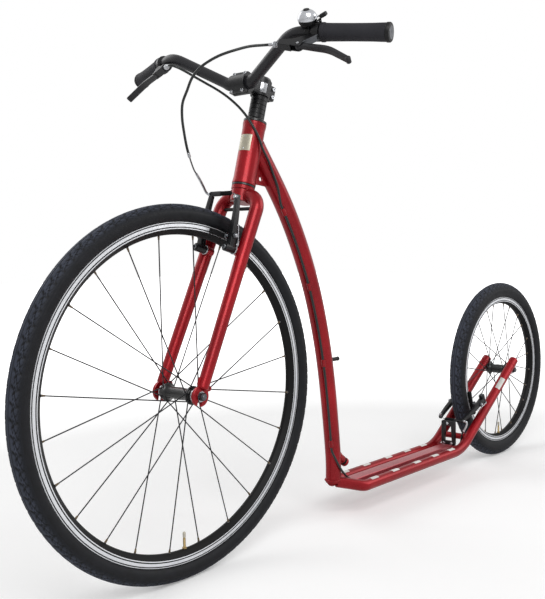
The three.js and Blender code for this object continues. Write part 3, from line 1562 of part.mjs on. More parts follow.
// An upright frame of two bars and a head, bolted on the cross plate, that guides the rear cable
function rearBracket() {
  const low = crossPlateTop + seatGap;
  const shape = roundedShape(bracketHalfWidth, low, bracketTop, bracketCorner);
  const gap = bracketHalfWidth - bracketBar;
  const window = new THREE.Path();
  window.moveTo(-gap, low + bracketBaseHeight);
  window.lineTo(gap, low + bracketBaseHeight);
  window.lineTo(gap * bracketWindowShare, bracketTop - bracketHead);
  window.lineTo(-gap * bracketWindowShare, bracketTop - bracketHead);
  shape.holes.push(window);
  return plate(shape, bracketDepth, point(bracketX, 0, 0), point(0, 1, 0), point(0, 0, 1));
}

// Cable routes

const noodleLeadIn = point(0, noodleLeadLength, 0);
const frontNoodleBends = [point(43, 2.7, 28.2), point(28, 4, 18.5), point(15, 6, 9.5), point(5, 7.5, 2.5)];
const rearNoodleBends = [point(-22.6, 0.5, 10), point(-15, 5.5, 6.5), point(-7, 9, 3), point(-1.5, 8.5, 0.7)];

// Places from the stem's foot, on the steering axis
function nearStem(x, y, z) {
  return point(x, y, stemBottom + z);
}

// Places from the bends of the deck tubes
function nearDeckFront(x, y, z) {
  return point(deckFrontX + x, y, deckHeight + z);
}

function nearDeckRear(x, y, z) {
  return point(deckRearX + x, y, deckHeight + z);
}

function frontCablePoints(ends) {
  return [
    cableExit(1), nearStem(133, 130, 29), nearStem(151, 113, 21), nearStem(171, 98, 7),
    nearStem(185, 77, -6), nearStem(193, 60, -18), nearStem(197, 42, -31), nearStem(196, 25, -47),
    nearStem(188, 8, -65), nearStem(180, -8, -85), nearStem(167, -18, -106), nearStem(149, -26, -129),
    nearStem(127, -34, -154), ...ends,
  ];
}

// The free stretch from the right lever to the first guide bends as the bar turns
function upperCablePoints(leadIn, last) {
  return [
    cableExit(-1), nearStem(131, -130, 29), nearStem(123, -117, 26), nearStem(105, -109, 23),
    nearStem(84, -104, 20), nearStem(65, -92, 14), nearStem(51, -72, 4), nearStem(42, -45, -12),
    nearStem(34, -14, -35), nearStem(26, 11, -60), nearStem(10, 24, -85), nearStem(-8, 27, -108),
    nearStem(-31, 26, -126), nearStem(-52, 23, -144), nearStem(-75, 20, -165), leadIn, last,
  ];
}

function lowerCablePoints(first, ends) {
  const deckRun = deckRearX - deckFrontX;
  const onTube = lowerCableShares.map((share) => cableOnTube(heightOnTube(share)));
  return [
    first, ...onTube, nearDeckFront(71.5, 20, 71), nearDeckFront(56, 21, 47),
    nearDeckFront(38, 19, 30), nearDeckFront(21, 13, 19.5), nearDeckFront(12, 16.8, 12.5),
    nearDeckFront(4, 21, 5), nearDeckFront(-12, 23.5, 1.3), nearDeckFront(-44, 23, 0.4),
    ...underDeckShares.map((share) => point(deckFrontX + deckRun * share, underDeckSide, deckHeight)),
    nearDeckRear(38, 23, -1), nearDeckRear(11, 23, -4), nearDeckRear(-11, 23, -4),
    nearDeckRear(-23.5, 23.5, 1), nearDeckRear(-27, 25, 12), nearDeckRear(-26, 28.5, 24), ...ends,
  ];
}

// The whole bike

const bike = new THREE.Group();
const head = steeringGroup();
const steering = steeringGroup();
bike.add(head, steering);

wheel(steering, 'front', {
  place: point(forkOffset, 0, 0), turn: headTilt, tyreRadius: frontTyreRadius, tyreWidth: frontTyreWidth,
  beadRadius: frontBeadRadius, rimDepth: frontRimDepth, facets: frontRimFacets, lead: frontSpokeLead,
  phase: frontSpokePhase, hubHalfWidth: frontHubHalfWidth, flangePlace: frontFlangePlace,
  collarEnd: frontCollarEnd,
});
wheel(bike, 'rear', {
  place: rearAxle, turn: 0, tyreRadius: rearTyreRadius, tyreWidth: rearTyreWidth,
  beadRadius: rearBeadRadius, rimDepth: rearRimDepth, facets: rearRimFacets, lead: rearSpokeLead,
  phase: rearSpokePhase, hubHalfWidth: rearHubHalfWidth, flangePlace: rearFlangePlace,
  collarEnd: rearCollarEnd,
});

piece(head, 'head_tube', headTubeShell(), redPaint);
piece(head, 'headset_lower', headsetLower(), blackPaint);
piece(head, 'headset_upper', headsetUpper(), blackPaint);
piece(steering, 'spacer_stack', spacerStack(), blackPaint);
piece(steering, 'fork_crown', crownAndSteerer(), redPaint);
piece(steering, 'fork_bridge_rod', bridgeRod(), blackPaint);
piece(steering, 'stem_body', stemBody(), blackPaint);
piece(steering, 'stem_faceplate', stemFaceplate(), blackPaint);
piece(steering, 'stem_cap', stemCap(), blackPaint);
piece(steering, 'handlebar', handlebar(), blackPaint);
for (const { name, sign } of sides) {
  piece(steering, `fork_leg_${name}`, sided(forkLeg(), sign), redPaint);
  piece(steering, `grip_${name}`, sided(grip(), sign), blackRubber);
  piece(steering, `lever_bracket_${name}`, sided(leverBracket(), sign), blackPaint);
  piece(steering, `lever_blade_${name}`, sided(leverBlade(), sign), blackPaint);
  piece(steering, `barrel_adjuster_${name}`, sided(barrelAdjuster(), sign), blackPlastic);
}
const frontAxleGroup = new THREE.Group();
frontAxleGroup.position.set(forkOffset, 0, 0);
steering.add(frontAxleGroup);
piece(frontAxleGroup, 'front_axle', axleWithNuts(frontDropoutInner + dropoutThickness), silver);
const rearAxleGroup = new THREE.Group();
rearAxleGroup.position.copy(rearAxle);
bike.add(rearAxleGroup);
piece(rearAxleGroup, 'rear_axle', axleWithNuts(rearDropoutPlace + rearDropoutThickness / 2), silver);

piece(steering, 'bell_clamp', bellClamp(), blackPlastic);
piece(steering, 'bell_dome', bellDome(), silver);
piece(steering, 'bell_striker', bellStriker(), blackPlastic);

// Front brake, in the steering frame, with its noodle on the right arm
const frontBrake = new THREE.Group();
frontBrake.position.set(forkOffset, 0, 0);
steering.add(frontBrake);
brake(frontBrake, 'front', frontTrackRadius, frontBrakeSetback, -1, frontNoodleBends);
const frontNoodle = noodleRoute(brakePivot(frontTrackRadius, frontBrakeSetback), frontNoodleBends);
const frontEntry = towards(frontNoodle[1], frontNoodle[0]);
const frontCableEnds = [cableLeadIn, seatGap].map((reach) => along(frontNoodle[0], frontEntry, reach));
const frontEnds = frontCableEnds.map((spot) => withSign(spot, -1).add(frontBrake.position));
const frontRoute = frontCablePoints(frontEnds);
piece(steering, 'front_cable', cable(frontRoute, cableRadius, frontCableSteps), cableSkin);

// Rear brake, turned down in front of the rear wheel, with its noodle on the left arm
const rearBrake = new THREE.Group();
rearBrake.applyMatrix4(rearBrakeMatrix());
rearBrake.userData.flipped = true;
bike.add(rearBrake);
brake(rearBrake, 'rear', rearTrackRadius, rearBrakeSetback, -1, rearNoodleBends);
const rearNoodle = noodleRoute(brakePivot(rearTrackRadius, rearBrakeSetback), rearNoodleBends);
const rearEntry = towards(rearNoodle[1], rearNoodle[0]);
const rearCableEnds = [cableLeadIn, seatGap].map((reach) => along(rearNoodle[0], rearEntry, reach));
const rearEnds = rearCableEnds.map((spot) => withSign(spot, -1).applyMatrix4(rearBrakeMatrix()));

// The rear cable meets itself at the first guide on the down tube
const [topGuideHeight] = guideHeights();
const topGuideHeading = onDownTube(topGuideHeight).heading;
const lowerStart = along(cableOnTube(topGuideHeight), topGuideHeading, guideLength / 2);
const upperEnd = along(lowerStart, topGuideHeading, seatGap);
const upperLeadIn = along(upperEnd, topGuideHeading, guideLength / 2);
const toSteering = steeringMatrix.clone().invert();
const upperRoute = upperCablePoints(upperLeadIn.applyMatrix4(toSteering), upperEnd.applyMatrix4(toSteering));
piece(steering, 'rear_cable_upper', cable(upperRoute, cableRadius, upperCableSteps), cableSkin);
const lowerRoute = lowerCablePoints(lowerStart, rearEnds);
piece(bike, 'rear_cable_lower', cable(lowerRoute, cableRadius, lowerCableSteps), cableSkin);

piece(bike, 'down_tube', downTube(cable(lowerRoute, cableRadius + seatGap, lowerCableSteps)), redPaint);
piece(bike, 'head_gusset', headGusset(), redPaint);
piece(bike, 'tube_peg', tubePeg(), blackPlastic);
piece(bike, 'tube_plug', tubePlug(), blackPlastic);
for (const { name, sign } of sides) {
  piece(bike, `deck_tube_${name}`, sided(deckSide(), sign), redPaint);
}
piece(bike, 'deck_rail', deckRail(), redPaint);
piece(bike, 'rear_cross_plate', rearCrossPlate(), redPaint);
piece(bike, 'stay_bridge', stayBridge(), redPaint);
piece(bike, 'rear_cable_bracket', rearBracket(), blackPaint);

export default bike;
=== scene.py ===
"""The kick bike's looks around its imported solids. Sizes are millimetres until a mesh is made."""

import math

import bpy
import numpy as np
from mathutils import Matrix, Vector
from mathutils.geometry import tessellate_polygon

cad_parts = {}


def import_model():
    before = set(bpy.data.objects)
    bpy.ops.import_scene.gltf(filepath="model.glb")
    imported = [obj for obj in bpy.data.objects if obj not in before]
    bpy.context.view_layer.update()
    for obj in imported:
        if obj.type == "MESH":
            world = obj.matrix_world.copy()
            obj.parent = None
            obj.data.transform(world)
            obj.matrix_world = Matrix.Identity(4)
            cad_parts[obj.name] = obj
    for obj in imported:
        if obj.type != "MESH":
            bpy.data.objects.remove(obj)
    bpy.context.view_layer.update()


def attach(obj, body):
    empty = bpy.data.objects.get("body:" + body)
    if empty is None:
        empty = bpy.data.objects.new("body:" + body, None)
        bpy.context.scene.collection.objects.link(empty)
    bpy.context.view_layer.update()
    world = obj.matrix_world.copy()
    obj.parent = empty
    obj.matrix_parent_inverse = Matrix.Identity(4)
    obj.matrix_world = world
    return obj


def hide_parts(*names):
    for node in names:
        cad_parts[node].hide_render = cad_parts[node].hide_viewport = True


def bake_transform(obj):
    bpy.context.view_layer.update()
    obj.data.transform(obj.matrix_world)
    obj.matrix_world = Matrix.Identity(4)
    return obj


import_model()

MM = 0.001
TAU = 2 * math.pi


# Points, directions and frames

def vec(*values):
    return np.array(values, float)


X, Y, Z = np.eye(3)
ORIGIN = 0 * Z
FLIP = vec(1, -1, 1)
SIDES = (("left", 1), ("right", -1))


def unit(v):
    return np.asarray(v, float) / np.linalg.norm(v)


def polar(degrees, first=X, second=Z):
    """The direction at an angle from the first towards the second of two square directions."""
    return first * math.cos(math.radians(degrees)) + second * math.sin(math.radians(degrees))


def rotated(v, axis, angle):
    """v turned about a unit axis by a column of angles in radians."""
    return v * np.cos(angle) + np.cross(axis, v) * np.sin(angle) + axis * (axis @ v) * (1 - np.cos(angle))


def side_of(heading):
    return unit(np.cross(Y if abs(heading[1]) < math.sqrt(0.5) else Z, heading))


def about(axis):
    """A unit axis and two directions square to it."""
    axis = unit(axis)
    side = side_of(axis)
    return axis, side, np.cross(axis, side)


def frame_of(origin, *ways):
    matrix = np.eye(4)
    matrix[:3] = np.column_stack([*ways, origin])
    return matrix


# Shapes. A shape is (points, faces), and several shapes make one piece.

def skin(rings, closed=False):
    """Quads between neighbouring rings of the same count, with flat ends unless closed."""
    rings = np.asarray(rings, float)
    rows, count = rings.shape[:2]
    first = np.arange(rows if closed else rows - 1)[:, None]
    j = np.arange(count)[None, :]
    after, right = (first + 1) % rows, (j + 1) % count
    quads = np.stack([first * count + j, first * count + right, after * count + right, after * count + j], -1)
    faces = quads.reshape(-1, 4).tolist()
    if not closed:
        faces += [list(range(count))[::-1], list(range((rows - 1) * count, rows * count))]
    return outward((rings.reshape(-1, 3), faces))


def outward(shape):
    """Turns every face round if the closed skin points inwards."""
    points, faces = shape
    centre = points.mean(0)
    total = 0.0
    for size in {len(face) for face in faces}:
        p = points[np.array([face for face in faces if len(face) == size])] - centre
        normal = sum(np.cross(p[:, k], p[:, k + 1]) for k in range(1, size - 1))
        total += (normal * p[:, 0]).sum()
    return points, faces if total >= 0 else [face[::-1] for face in faces]


def turned(profile, start, axis, facets=48):
    """A profile of (radius, height) turned about the line from start along axis."""
    axis, u, v = about(axis)
    angle = np.linspace(0, TAU, facets, endpoint=False)[:, None]
    spin = np.cos(angle) * u + np.sin(angle) * v
    profile = np.array(profile, float)
    solid = profile[0, 0] == 0 and profile[-1, 0] == 0
    r, h = (profile[1:-1] if solid else profile).T[..., None, None]
    return skin(start + axis * h + spin * r, closed=not solid)


def twofold(half, start, end, facets):
    """A turned shape between two places, from the half of its profile at the start."""
    length = np.linalg.norm(end - start)
    return turned(half + [(r, length - h) for r, h in half[::-1]], start, end - start, facets)


def rod(start, end, radius, facets=32, edge=0.4):
    edge = min(edge, radius / 2, np.linalg.norm(end - start) / 3)
    return twofold([(0, 0), (radius - edge, 0), (radius, edge)], start, end, facets)


def washer(start, axis, inner, outer, thick, facets=28, top=None):
    """A flat ring, or a cone's slice if its outer radius differs at the top."""
    top = outer if top is None else top
    return turned([(inner, 0), (outer, 0), (top, thick), (inner, thick)], start, axis, facets)


def ball(centre, radius, facets=24, axis=Z, flat=1.0):
    a = np.linspace(0, math.pi, facets // 2 + 1)
    profile = radius * np.stack([np.sin(a), -flat * np.cos(a)], 1)
    profile[-1, 0] = 0
    return turned(profile, centre, axis, facets)


def bead_ring(start, axis, ring_radius, radius=1.6, ripples=40, facets=120):
    """A weld seam: a ring about a tube, radius (1 + 0.14 sin(ripples a)) thick at the angle a."""
    axis, u, v = about(axis)
    a = np.linspace(0, TAU, facets, endpoint=False)[:, None, None]
    c = np.linspace(0, TAU, 10, endpoint=False)[:, None]
    r = radius * (1 + 0.14 * np.sin(ripples * a))
    out = np.cos(a) * u + np.sin(a) * v
    return skin(start + out * (ring_radius + r * np.cos(c)) + axis * r * np.sin(c), closed=True)


def bent(corners, bends, step=math.radians(4)):
    """Places along a straight run through corners, with a round bend at each inner corner."""
    places = [corners[:1]]
    for a, b, c, bend in zip(corners, corners[1:], corners[2:], bends):
        before, after = unit(b - a), unit(c - b)
        turn = math.acos(np.clip(before @ after, -1, 1))
        axis = unit(np.cross(before, after))
        inward = np.cross(axis, before) * bend
        start = b - before * bend * math.tan(turn / 2)
        angles = np.linspace(0, turn, max(2, math.ceil(turn / step)) + 1)[:, None]
        places.append(start + inward + rotated(-inward, axis, angles))
    return np.concatenate(places + [corners[-1:]])


def run(places):
    """How far along a line of places each of them lies."""
    return np.concatenate([[0], np.cumsum(np.linalg.norm(np.diff(places, axis=0), axis=1))])


def even(places, count):
    """Places at even steps along a line of places."""
    length = run(places)
    at = np.linspace(0, length[-1], count + 1)
    return np.stack([np.interp(at, length, line) for line in np.transpose(places)], 1)


def smooth(points, count):
    """Even places on a centripetal Catmull-Rom curve through the points."""
    p = np.array(points, float)
    p = np.concatenate([2 * p[:1] - p[1:2], p, 2 * p[-1:] - p[-2:-1]])
    d = np.maximum(np.linalg.norm(np.diff(p, axis=0), axis=1) ** 0.5, 1e-4)[:, None, None]
    d0, d1, d2 = d[:-2], d[1:-1], d[2:]
    a, b, c, e = (p[k:len(p) - 3 + k, None] for k in range(4))
    t1 = ((b - a) / d0 - (c - a) / (d0 + d1) + (c - b) / d1) * d1
    t2 = ((c - b) / d1 - (e - b) / (d1 + d2) + (e - c) / d2) * d1
    t = np.linspace(0, 1, 40, endpoint=False)[:, None]
    curve = b + t1 * t + (3 * (c - b) - 2 * t1 - t2) * t ** 2 + (2 * (b - c) + t1 + t2) * t ** 3
    return even(np.concatenate([curve.reshape(-1, 3), p[-2:-1]]), count)


def sweep(places, outline_at, side=None):
    """An outline of (across, up) carried without twist along places. outline_at takes a share."""
    places, length = np.asarray(places, float), run(places)
    steps = np.gradient(places, axis=0)
    ways = steps / np.linalg.norm(steps, axis=1)[:, None]
    carried = [side_of(ways[0]) if side is None else side]
    for way in ways:
        carried.append(unit(carried[-1] - way * (carried[-1] @ way)))
    across = np.array(carried[1:])
    outlines = np.array([outline_at(share) for share in length / length[-1]])
    return loft(places, outlines, across[:, None], np.cross(ways, across)[:, None])


def loft(places, outlines, across, up):
    """A skin through flat outlines of (across, up), one at each place."""
    outlines = np.array(outlines, float)
    return skin(np.asarray(places)[:, None] + outlines[..., :1] * across + outlines[..., 1:] * up)


def bowed(profile, start, end, steps):
    """A plate bent about Z: a profile of (radius, height) between two angles in degrees."""
    a = np.radians(np.linspace(start, end, steps + 1))[:, None]
    r, h = np.transpose(profile)
    return skin(np.stack([np.cos(a) * r, np.sin(a) * r, h + 0 * a], -1))


def arc(x, y, radius, start, end, steps=16):
    a = np.radians(np.linspace(start, end, steps + 1))
    return np.stack([x + radius * np.cos(a), y + radius * np.sin(a)], 1).tolist()


def circle(radius, count, x=0, y=0):
    return arc(x, y, radius, 0, 360, count)[:-1]


def rounded(half_wide, low, high, corner, steps=6):
    """A rectangle outline with round corners."""
    x, low, high = half_wide - corner, low + corner, high - corner
    centres = ((x, low, -90), (x, high, 0), (-x, high, 90), (-x, low, 180))
    return sum((arc(u, v, corner, a, a + 90, steps) for u, v, a in centres), [])


def tube(places, start_radius, end_radius=None, count=32):
    grow = 0 if end_radius is None else end_radius - start_radius
    return sweep(places, lambda s: circle(start_radius + grow * s, count))


def inset(outline, amount):
    """The outline moved inwards; it runs anticlockwise, or clockwise for a hole."""
    steps = np.diff(outline, axis=0, append=outline[:1])
    after = steps / np.maximum(np.linalg.norm(steps, axis=1), 1e-9)[:, None]
    way = after + np.roll(after, 1, 0)
    normal = np.stack([-way[:, 1], way[:, 0]], 1)
    return outline + amount * normal / np.maximum(np.linalg.norm(normal, axis=1), 1e-9)[:, None]


def slab(outline, thickness, origin, across, up, edge=0.5, holes=()):
    """A flat outline raised to a thickness about the origin, with small chamfers and holes."""
    across, up = unit(across), unit(up)
    outline = np.array(outline, float)
    x, y = outline.T
    if x @ np.roll(y, -1) < y @ np.roll(x, -1):
        outline = outline[::-1]
    half = thickness / 2
    points, faces, ends, base = [], [], {-1: [], 1: []}, 0
    for loop in [outline] + [np.array(hole[::-1], float) for hole in holes]:
        n = len(loop)
        small = inset(loop, edge)
        for ring, height in ((small, -half), (loop, edge - half), (loop, half - edge), (small, half)):
            points.append(np.column_stack([ring, np.full(n, height)]))
        layer, k = base + n * np.arange(3)[:, None], np.arange(n)
        left, right = (layer + k).ravel(), (layer + (k + 1) % n).ravel()
        faces += np.stack([left, right, right + n, left + n], 1).tolist()
        ends[-1].append(base + k)
        ends[1].append(base + 3 * n + k)
        base += 4 * n
    points = np.concatenate(points)
    for wanted, loops in ends.items():
        flat = [[Vector((*points[i, :2], 0)) for i in loop] for loop in loops]
        tris = np.concatenate(loops)[np.array(tessellate_polygon(flat))]
        (ax, ay), (bx, by) = (points[tris[:, k], :2].T - points[tris[:, 0], :2].T for k in (1, 2))
        faces += np.where(((ax * by - ay * bx) * wanted > 0)[:, None], tris, tris[:, ::-1]).tolist()
    return origin + points @ np.array([across, up, np.cross(across, up)]), faces


def box(low, high, edge=0.6):
    """A block along the axes with small chamfers."""
    low, high = np.asarray(low, float), np.asarray(high, float)
    middle, (x, y, z) = (low + high) / 2, (high - low) / 2
    return slab([(-x, -y), (x, -y), (x, y), (-x, y)], 2 * z, middle, X, Y, min(edge, x / 3, y / 3, z / 3))


def bolt(head, way, radius, height):
    """A socket-head bolt: a round head with a recess."""
    profile = np.array([(0, 0), (1, 0), (1, 0.8), (0.86, 1), (0.55, 1), (0.5, 0.45), (0, 0.45)])
    return turned(profile * (radius, height), head, way, 24)


def nut(start, end, radius):
    """A six-sided nut with its corners turned down."""
    return twofold([(0, 0), (radius * 0.9, 0), (radius, 0.8)], start, end, 6)


# Shader nodes and materials

def colour(rgb):
    """A display colour of 0 to 255 as linear light."""
    c = np.array(rgb) / 255
    return (*np.where(c <= 0.04045, c / 12.92, ((c + 0.055) / 1.055) ** 2.4).tolist(), 1.0)


def lighter(tone, times):
    return (*(min(1.0, c * times) for c in tone[:3]), 1.0)


def feed(tree, value, socket):
    """Links another node's output to a socket, or sets the socket to a value."""
    if isinstance(value, bpy.types.NodeSocket):
        tree.links.new(value, socket)
    else:
        socket.default_value = value


def shader_node(tree, kind, inputs, **settings):
    """A node with its settings. Its inputs go by name or number."""
    node = tree.nodes.new("ShaderNode" + kind)
    for key, value in settings.items():
        setattr(node, key, value)
    for key, value in inputs.items():
        feed(tree, value, node.inputs[key])
    return node.outputs


def math_node(tree, operation, a, b=0.0, clamp=False):
    return shader_node(tree, "Math", {0: a, 1: b}, operation=operation, use_clamp=clamp)[0]


def scaled(tree, value, less, times, clamp=False):
    """(value - less) times a number or another output."""
    return math_node(tree, "MULTIPLY", math_node(tree, "SUBTRACT", value, less), times, clamp)


def mix_colour(tree, factor, a, b):
    return shader_node(tree, "Mix", {0: factor, 6: a, 7: b}, data_type="RGBA")[2]


def object_coordinates(tree):
    return shader_node(tree, "TexCoord", {})["Object"]


def group(name, inputs, outputs):
    """An empty shader group, the outputs of its input node and the inputs of its output node."""
    tree = bpy.data.node_groups.new(name, "ShaderNodeTree")
    for direction, sockets in (("INPUT", inputs), ("OUTPUT", outputs)):
        for socket, kind in sockets.items():
            tree.interface.new_socket(name=socket, in_out=direction, socket_type="NodeSocket" + kind)
    return tree, tree.nodes.new("NodeGroupInput").outputs, tree.nodes.new("NodeGroupOutput").inputs


def surface_group():
    """Broad cloudiness in colour and roughness, and a fine grain as height."""
    tree, given, out = group("surface", dict(Dark="Color", Light="Color", Broad="Float", Fine="Float",
                                             Roughness="Float", Spread="Float"),
                             dict(Color="Color", Rough="Float", Height="Float"))
    where = object_coordinates(tree)
    broad, fine = (shader_node(tree, "TexNoise", dict(Detail=detail, Vector=where, Scale=given[scale]))["Fac"]
                   for scale, detail in (("Broad", 4.0), ("Fine", 2.0)))
    contrast = scaled(tree, broad, 0.3, 2.5, clamp=True)
    feed(tree, mix_colour(tree, contrast, given["Dark"], given["Light"]), out["Color"])
    sway = scaled(tree, fine, 0.5, given["Spread"])
    feed(tree, math_node(tree, "ADD", given["Roughness"], sway), out["Rough"])
    feed(tree, fine, out["Height"])
    return tree


def painted_glint_group():
    """Painted glints: small cells of the paint mixed towards a bright glint colour, standing in for light
    caught by metal flakes.
    """
    tree, given, out = group("painted_glints", dict(Base="Color", Glint="Color", Scale="Float"), dict(Color="Color"))
    cells = shader_node(tree, "TexVoronoi", {"Vector": object_coordinates(tree), "Scale": given["Scale"]})
    spark = shader_node(tree, "SeparateColor", {"Color": cells["Color"]})[0]
    # Painted glints: the brightest cells take the glint colour.
    painted_glint_mask = scaled(tree, spark, 0.7, 2.0, clamp=True)
    feed(tree, mix_colour(tree, painted_glint_mask, given["Base"], given["Glint"]), out["Color"])
    return tree


def lathe_group():
    """Fine turned lines round a wheel: a height that depends on the distance from its axle."""
    tree, given, out = group("turned_lines", dict(Centre="Vector", Pitch="Float"), dict(Line="Float"))
    where = object_coordinates(tree)
    shift = shader_node(tree, "VectorMath", {0: where, 1: given["Centre"]}, operation="SUBTRACT")
    flat = shader_node(tree, "VectorMath", {0: shift[0], 1: (1, 0, 1)}, operation="MULTIPLY")
    radius = shader_node(tree, "VectorMath", {0: flat[0]}, operation="LENGTH")["Value"]
    turns = math_node(tree, "MULTIPLY", math_node(tree, "DIVIDE", radius, given["Pitch"]), TAU)
    wave = math_node(tree, "MULTIPLY", math_node(tree, "SINE", turns), 0.5)
    feed(tree, math_node(tree, "ADD", wave, 0.5), out["Line"])
    return tree


SURFACE, PAINTED_GLINT_GROUP, LATHE = surface_group(), painted_glint_group(), lathe_group()


def new_material(name, levels):
    """A material whose principled shader has some levels set, its node tree and the shader's inputs."""
    mat = bpy.data.materials.new(name)
    mat.use_nodes = True
    inputs = mat.node_tree.nodes["Principled BSDF"].inputs
    for key, value in levels.items():
        inputs[key].default_value = value
    return mat, mat.node_tree, inputs


def surface(tree, dark, light, broad, fine, roughness, spread):
    inputs = dict(Dark=dark, Light=light, Broad=broad, Fine=fine, Roughness=roughness, Spread=spread)
    return shader_node(tree, "Group", inputs, node_tree=SURFACE)


def bump(tree, height, distance):
    return shader_node(tree, "Bump", dict(Strength=1.0, Distance=distance, Height=height))["Normal"]


def dress(tree, inputs, base, rough, normal):
    for socket, value in (("Base Color", base), ("Roughness", rough), ("Normal", normal)):
        feed(tree, value, inputs[socket])


def material(name, dark, light, roughness, metallic=0.0, spread=0.1, broad=18, fine=900, grain=0.00003,
             coat=0.0, coat_roughness=0.05, shine=0.5):
    mat, tree, inputs = new_material(name, {"Specular IOR Level": shine, "Metallic": metallic,
                                            "Coat Weight": coat, "Coat Roughness": coat_roughness})
    look = surface(tree, colour(dark), colour(light), broad, fine, roughness, spread)
    dress(tree, inputs, look["Color"], look["Rough"], bump(tree, look["Height"], grain))
    return mat


def paint_with_painted_glints(name, deep, bright, glint, roughness):
    """Metallic paint under clear lacquer, with painted glints in small cells."""
    mat, tree, inputs = new_material(name, {"Specular IOR Level": 0.3, "Metallic": 0.5, "Coat Weight": 0.22,
                                            "Coat Roughness": 0.14})
    look = surface(tree, colour(deep), colour(bright), 9, 260, roughness, 0.06)
    # Painted glints over the paint's cloudy colour.
    mixed = dict(Base=look["Color"], Glint=colour(glint), Scale=2600)
    painted_glints = shader_node(tree, "Group", mixed, node_tree=PAINTED_GLINT_GROUP)
    dress(tree, inputs, painted_glints["Color"], look["Rough"], bump(tree, look["Height"], 0.00004))
    return mat


def turned_metal(name, tone, line_tone, centre):
    """Metal with fine lines turned about a wheel's axle."""
    mat, tree, inputs = new_material(name, {"Metallic": 0.35})
    line = shader_node(tree, "Group", dict(Centre=centre, Pitch=0.0006), node_tree=LATHE)["Line"]
    look = surface(tree, colour(tone), lighter(colour(tone), 1.12), 30, 700, 0.3, 0.12)
    shade = math_node(tree, "MULTIPLY", line, 0.35)
    dress(tree, inputs, mix_colour(tree, shade, look["Color"], colour(line_tone)), look["Rough"],
          bump(tree, line, 0.00008))
    return mat


def tread_rubber(name, top, low):
    """Tyre rubber mixed towards a near-black colour by a value stored on the mesh: painted shade in the cut
    grooves, and a darkening of the tread towards the side wall.
    """
    mat, tree, inputs = new_material(name, {"Specular IOR Level": 0.25})
    look = surface(tree, colour(top), lighter(colour(top), 1.5), 40, 800, 0.6, 0.25)
    # Painted shade: the stored value darkens the cuts and the tread's shoulders.
    cut = shader_node(tree, "Attribute", {}, attribute_name="groove_shade")["Fac"]
    dress(tree, inputs, mix_colour(tree, cut, look["Color"], colour(low)), look["Rough"],
          bump(tree, look["Height"], 0.0001))
    return mat


# Each paint's third colour is the colour of its painted glints.
RED = paint_with_painted_glints("red_paint", (122, 2, 14), (160, 6, 22), (206, 52, 60), 0.34)
# Painted highlight: the rail's red is a lighter, pinker copy of the frame's red, for upward faces that catch
# the light.
RAIL_RED_PAINTED_LIGHT = paint_with_painted_glints("rail_paint_painted_light", (156, 46, 56), (186, 80, 88), (232, 150, 152), 0.3)
BLACK = material("satin_black", (16, 16, 18), (22, 22, 25), 0.36, shine=0.4)
BAR_BLACK = material("bar_black", (26, 26, 29), (34, 34, 38), 0.38, fine=1400, shine=0.4)
GLOSS_BLACK = material("gloss_black", (7, 7, 8), (13, 13, 15), 0.4, 0.1, coat=0.4)
RIM_BLACK = material("rim_black", (8, 8, 9), (14, 14, 16), 0.5, fine=1200, shine=0.2)
PLASTIC = material("black_plastic", (13, 13, 14), (21, 21, 23), 0.45, fine=1600, grain=0.00006, shine=0.3)
RUBBER = material("grip_rubber", (36, 36, 40), (50, 50, 55), 0.7, spread=0.2, fine=1300, grain=0.00012,
                  shine=0.25)
PAD_RUBBER = material("pad_rubber", (12, 12, 13), (20, 20, 22), 0.8, fine=1100, grain=0.0001, shine=0.2)
TYRE = tread_rubber("tyre_tread", (48, 52, 63), (6, 7, 9))
TYRE_SIDE = material("tyre_side", (14, 15, 18), (22, 23, 28), 0.55, broad=60, fine=1500, grain=0.00005,
                     shine=0.25)
STEEL = material("bright_steel", (176, 178, 182), (214, 216, 219), 0.24, 1.0, spread=0.16, fine=1500)
DULL_STEEL = material("dull_steel", (96, 98, 102), (132, 134, 138), 0.38, 1.0, spread=0.2, fine=1200)
SPOKE = material("spoke_steel", (26, 26, 29), (46, 46, 50), 0.35, 0.6)
NIPPLE = material("nipple_brass", (82, 68, 50), (112, 95, 72), 0.45, 0.5, fine=1500)
BRASS = material("valve_brass", (150, 128, 86), (190, 168, 122), 0.3, 1.0, fine=1500)
CAP_PLASTIC = material("valve_cap", (186, 180, 164), (206, 200, 186), 0.4, fine=1500)
CABLE = material("cable_cover", (7, 13, 13), (13, 21, 20), 0.4, fine=1800, coat=0.2, coat_roughness=0.2)
WIRE = material("inner_wire", (96, 97, 98), (140, 141, 142), 0.35, 1.0, fine=2600, grain=0.0001)
DOME = material("bell_metal", (196, 198, 203), (222, 224, 228), 0.22, 0.75, spread=0.05, broad=8, fine=700)
PLATE = material("bare_plate", (176, 170, 152), (204, 198, 180), 0.36, 0.6, spread=0.2, fine=1900)
PATCH = material("grip_patch", (216, 212, 208), (244, 241, 238), 0.85, fine=1900, grain=0.0005)
REFLECTOR = material("reflective_patch", (190, 190, 184), (222, 222, 218), 0.35, 0.2, fine=2400)


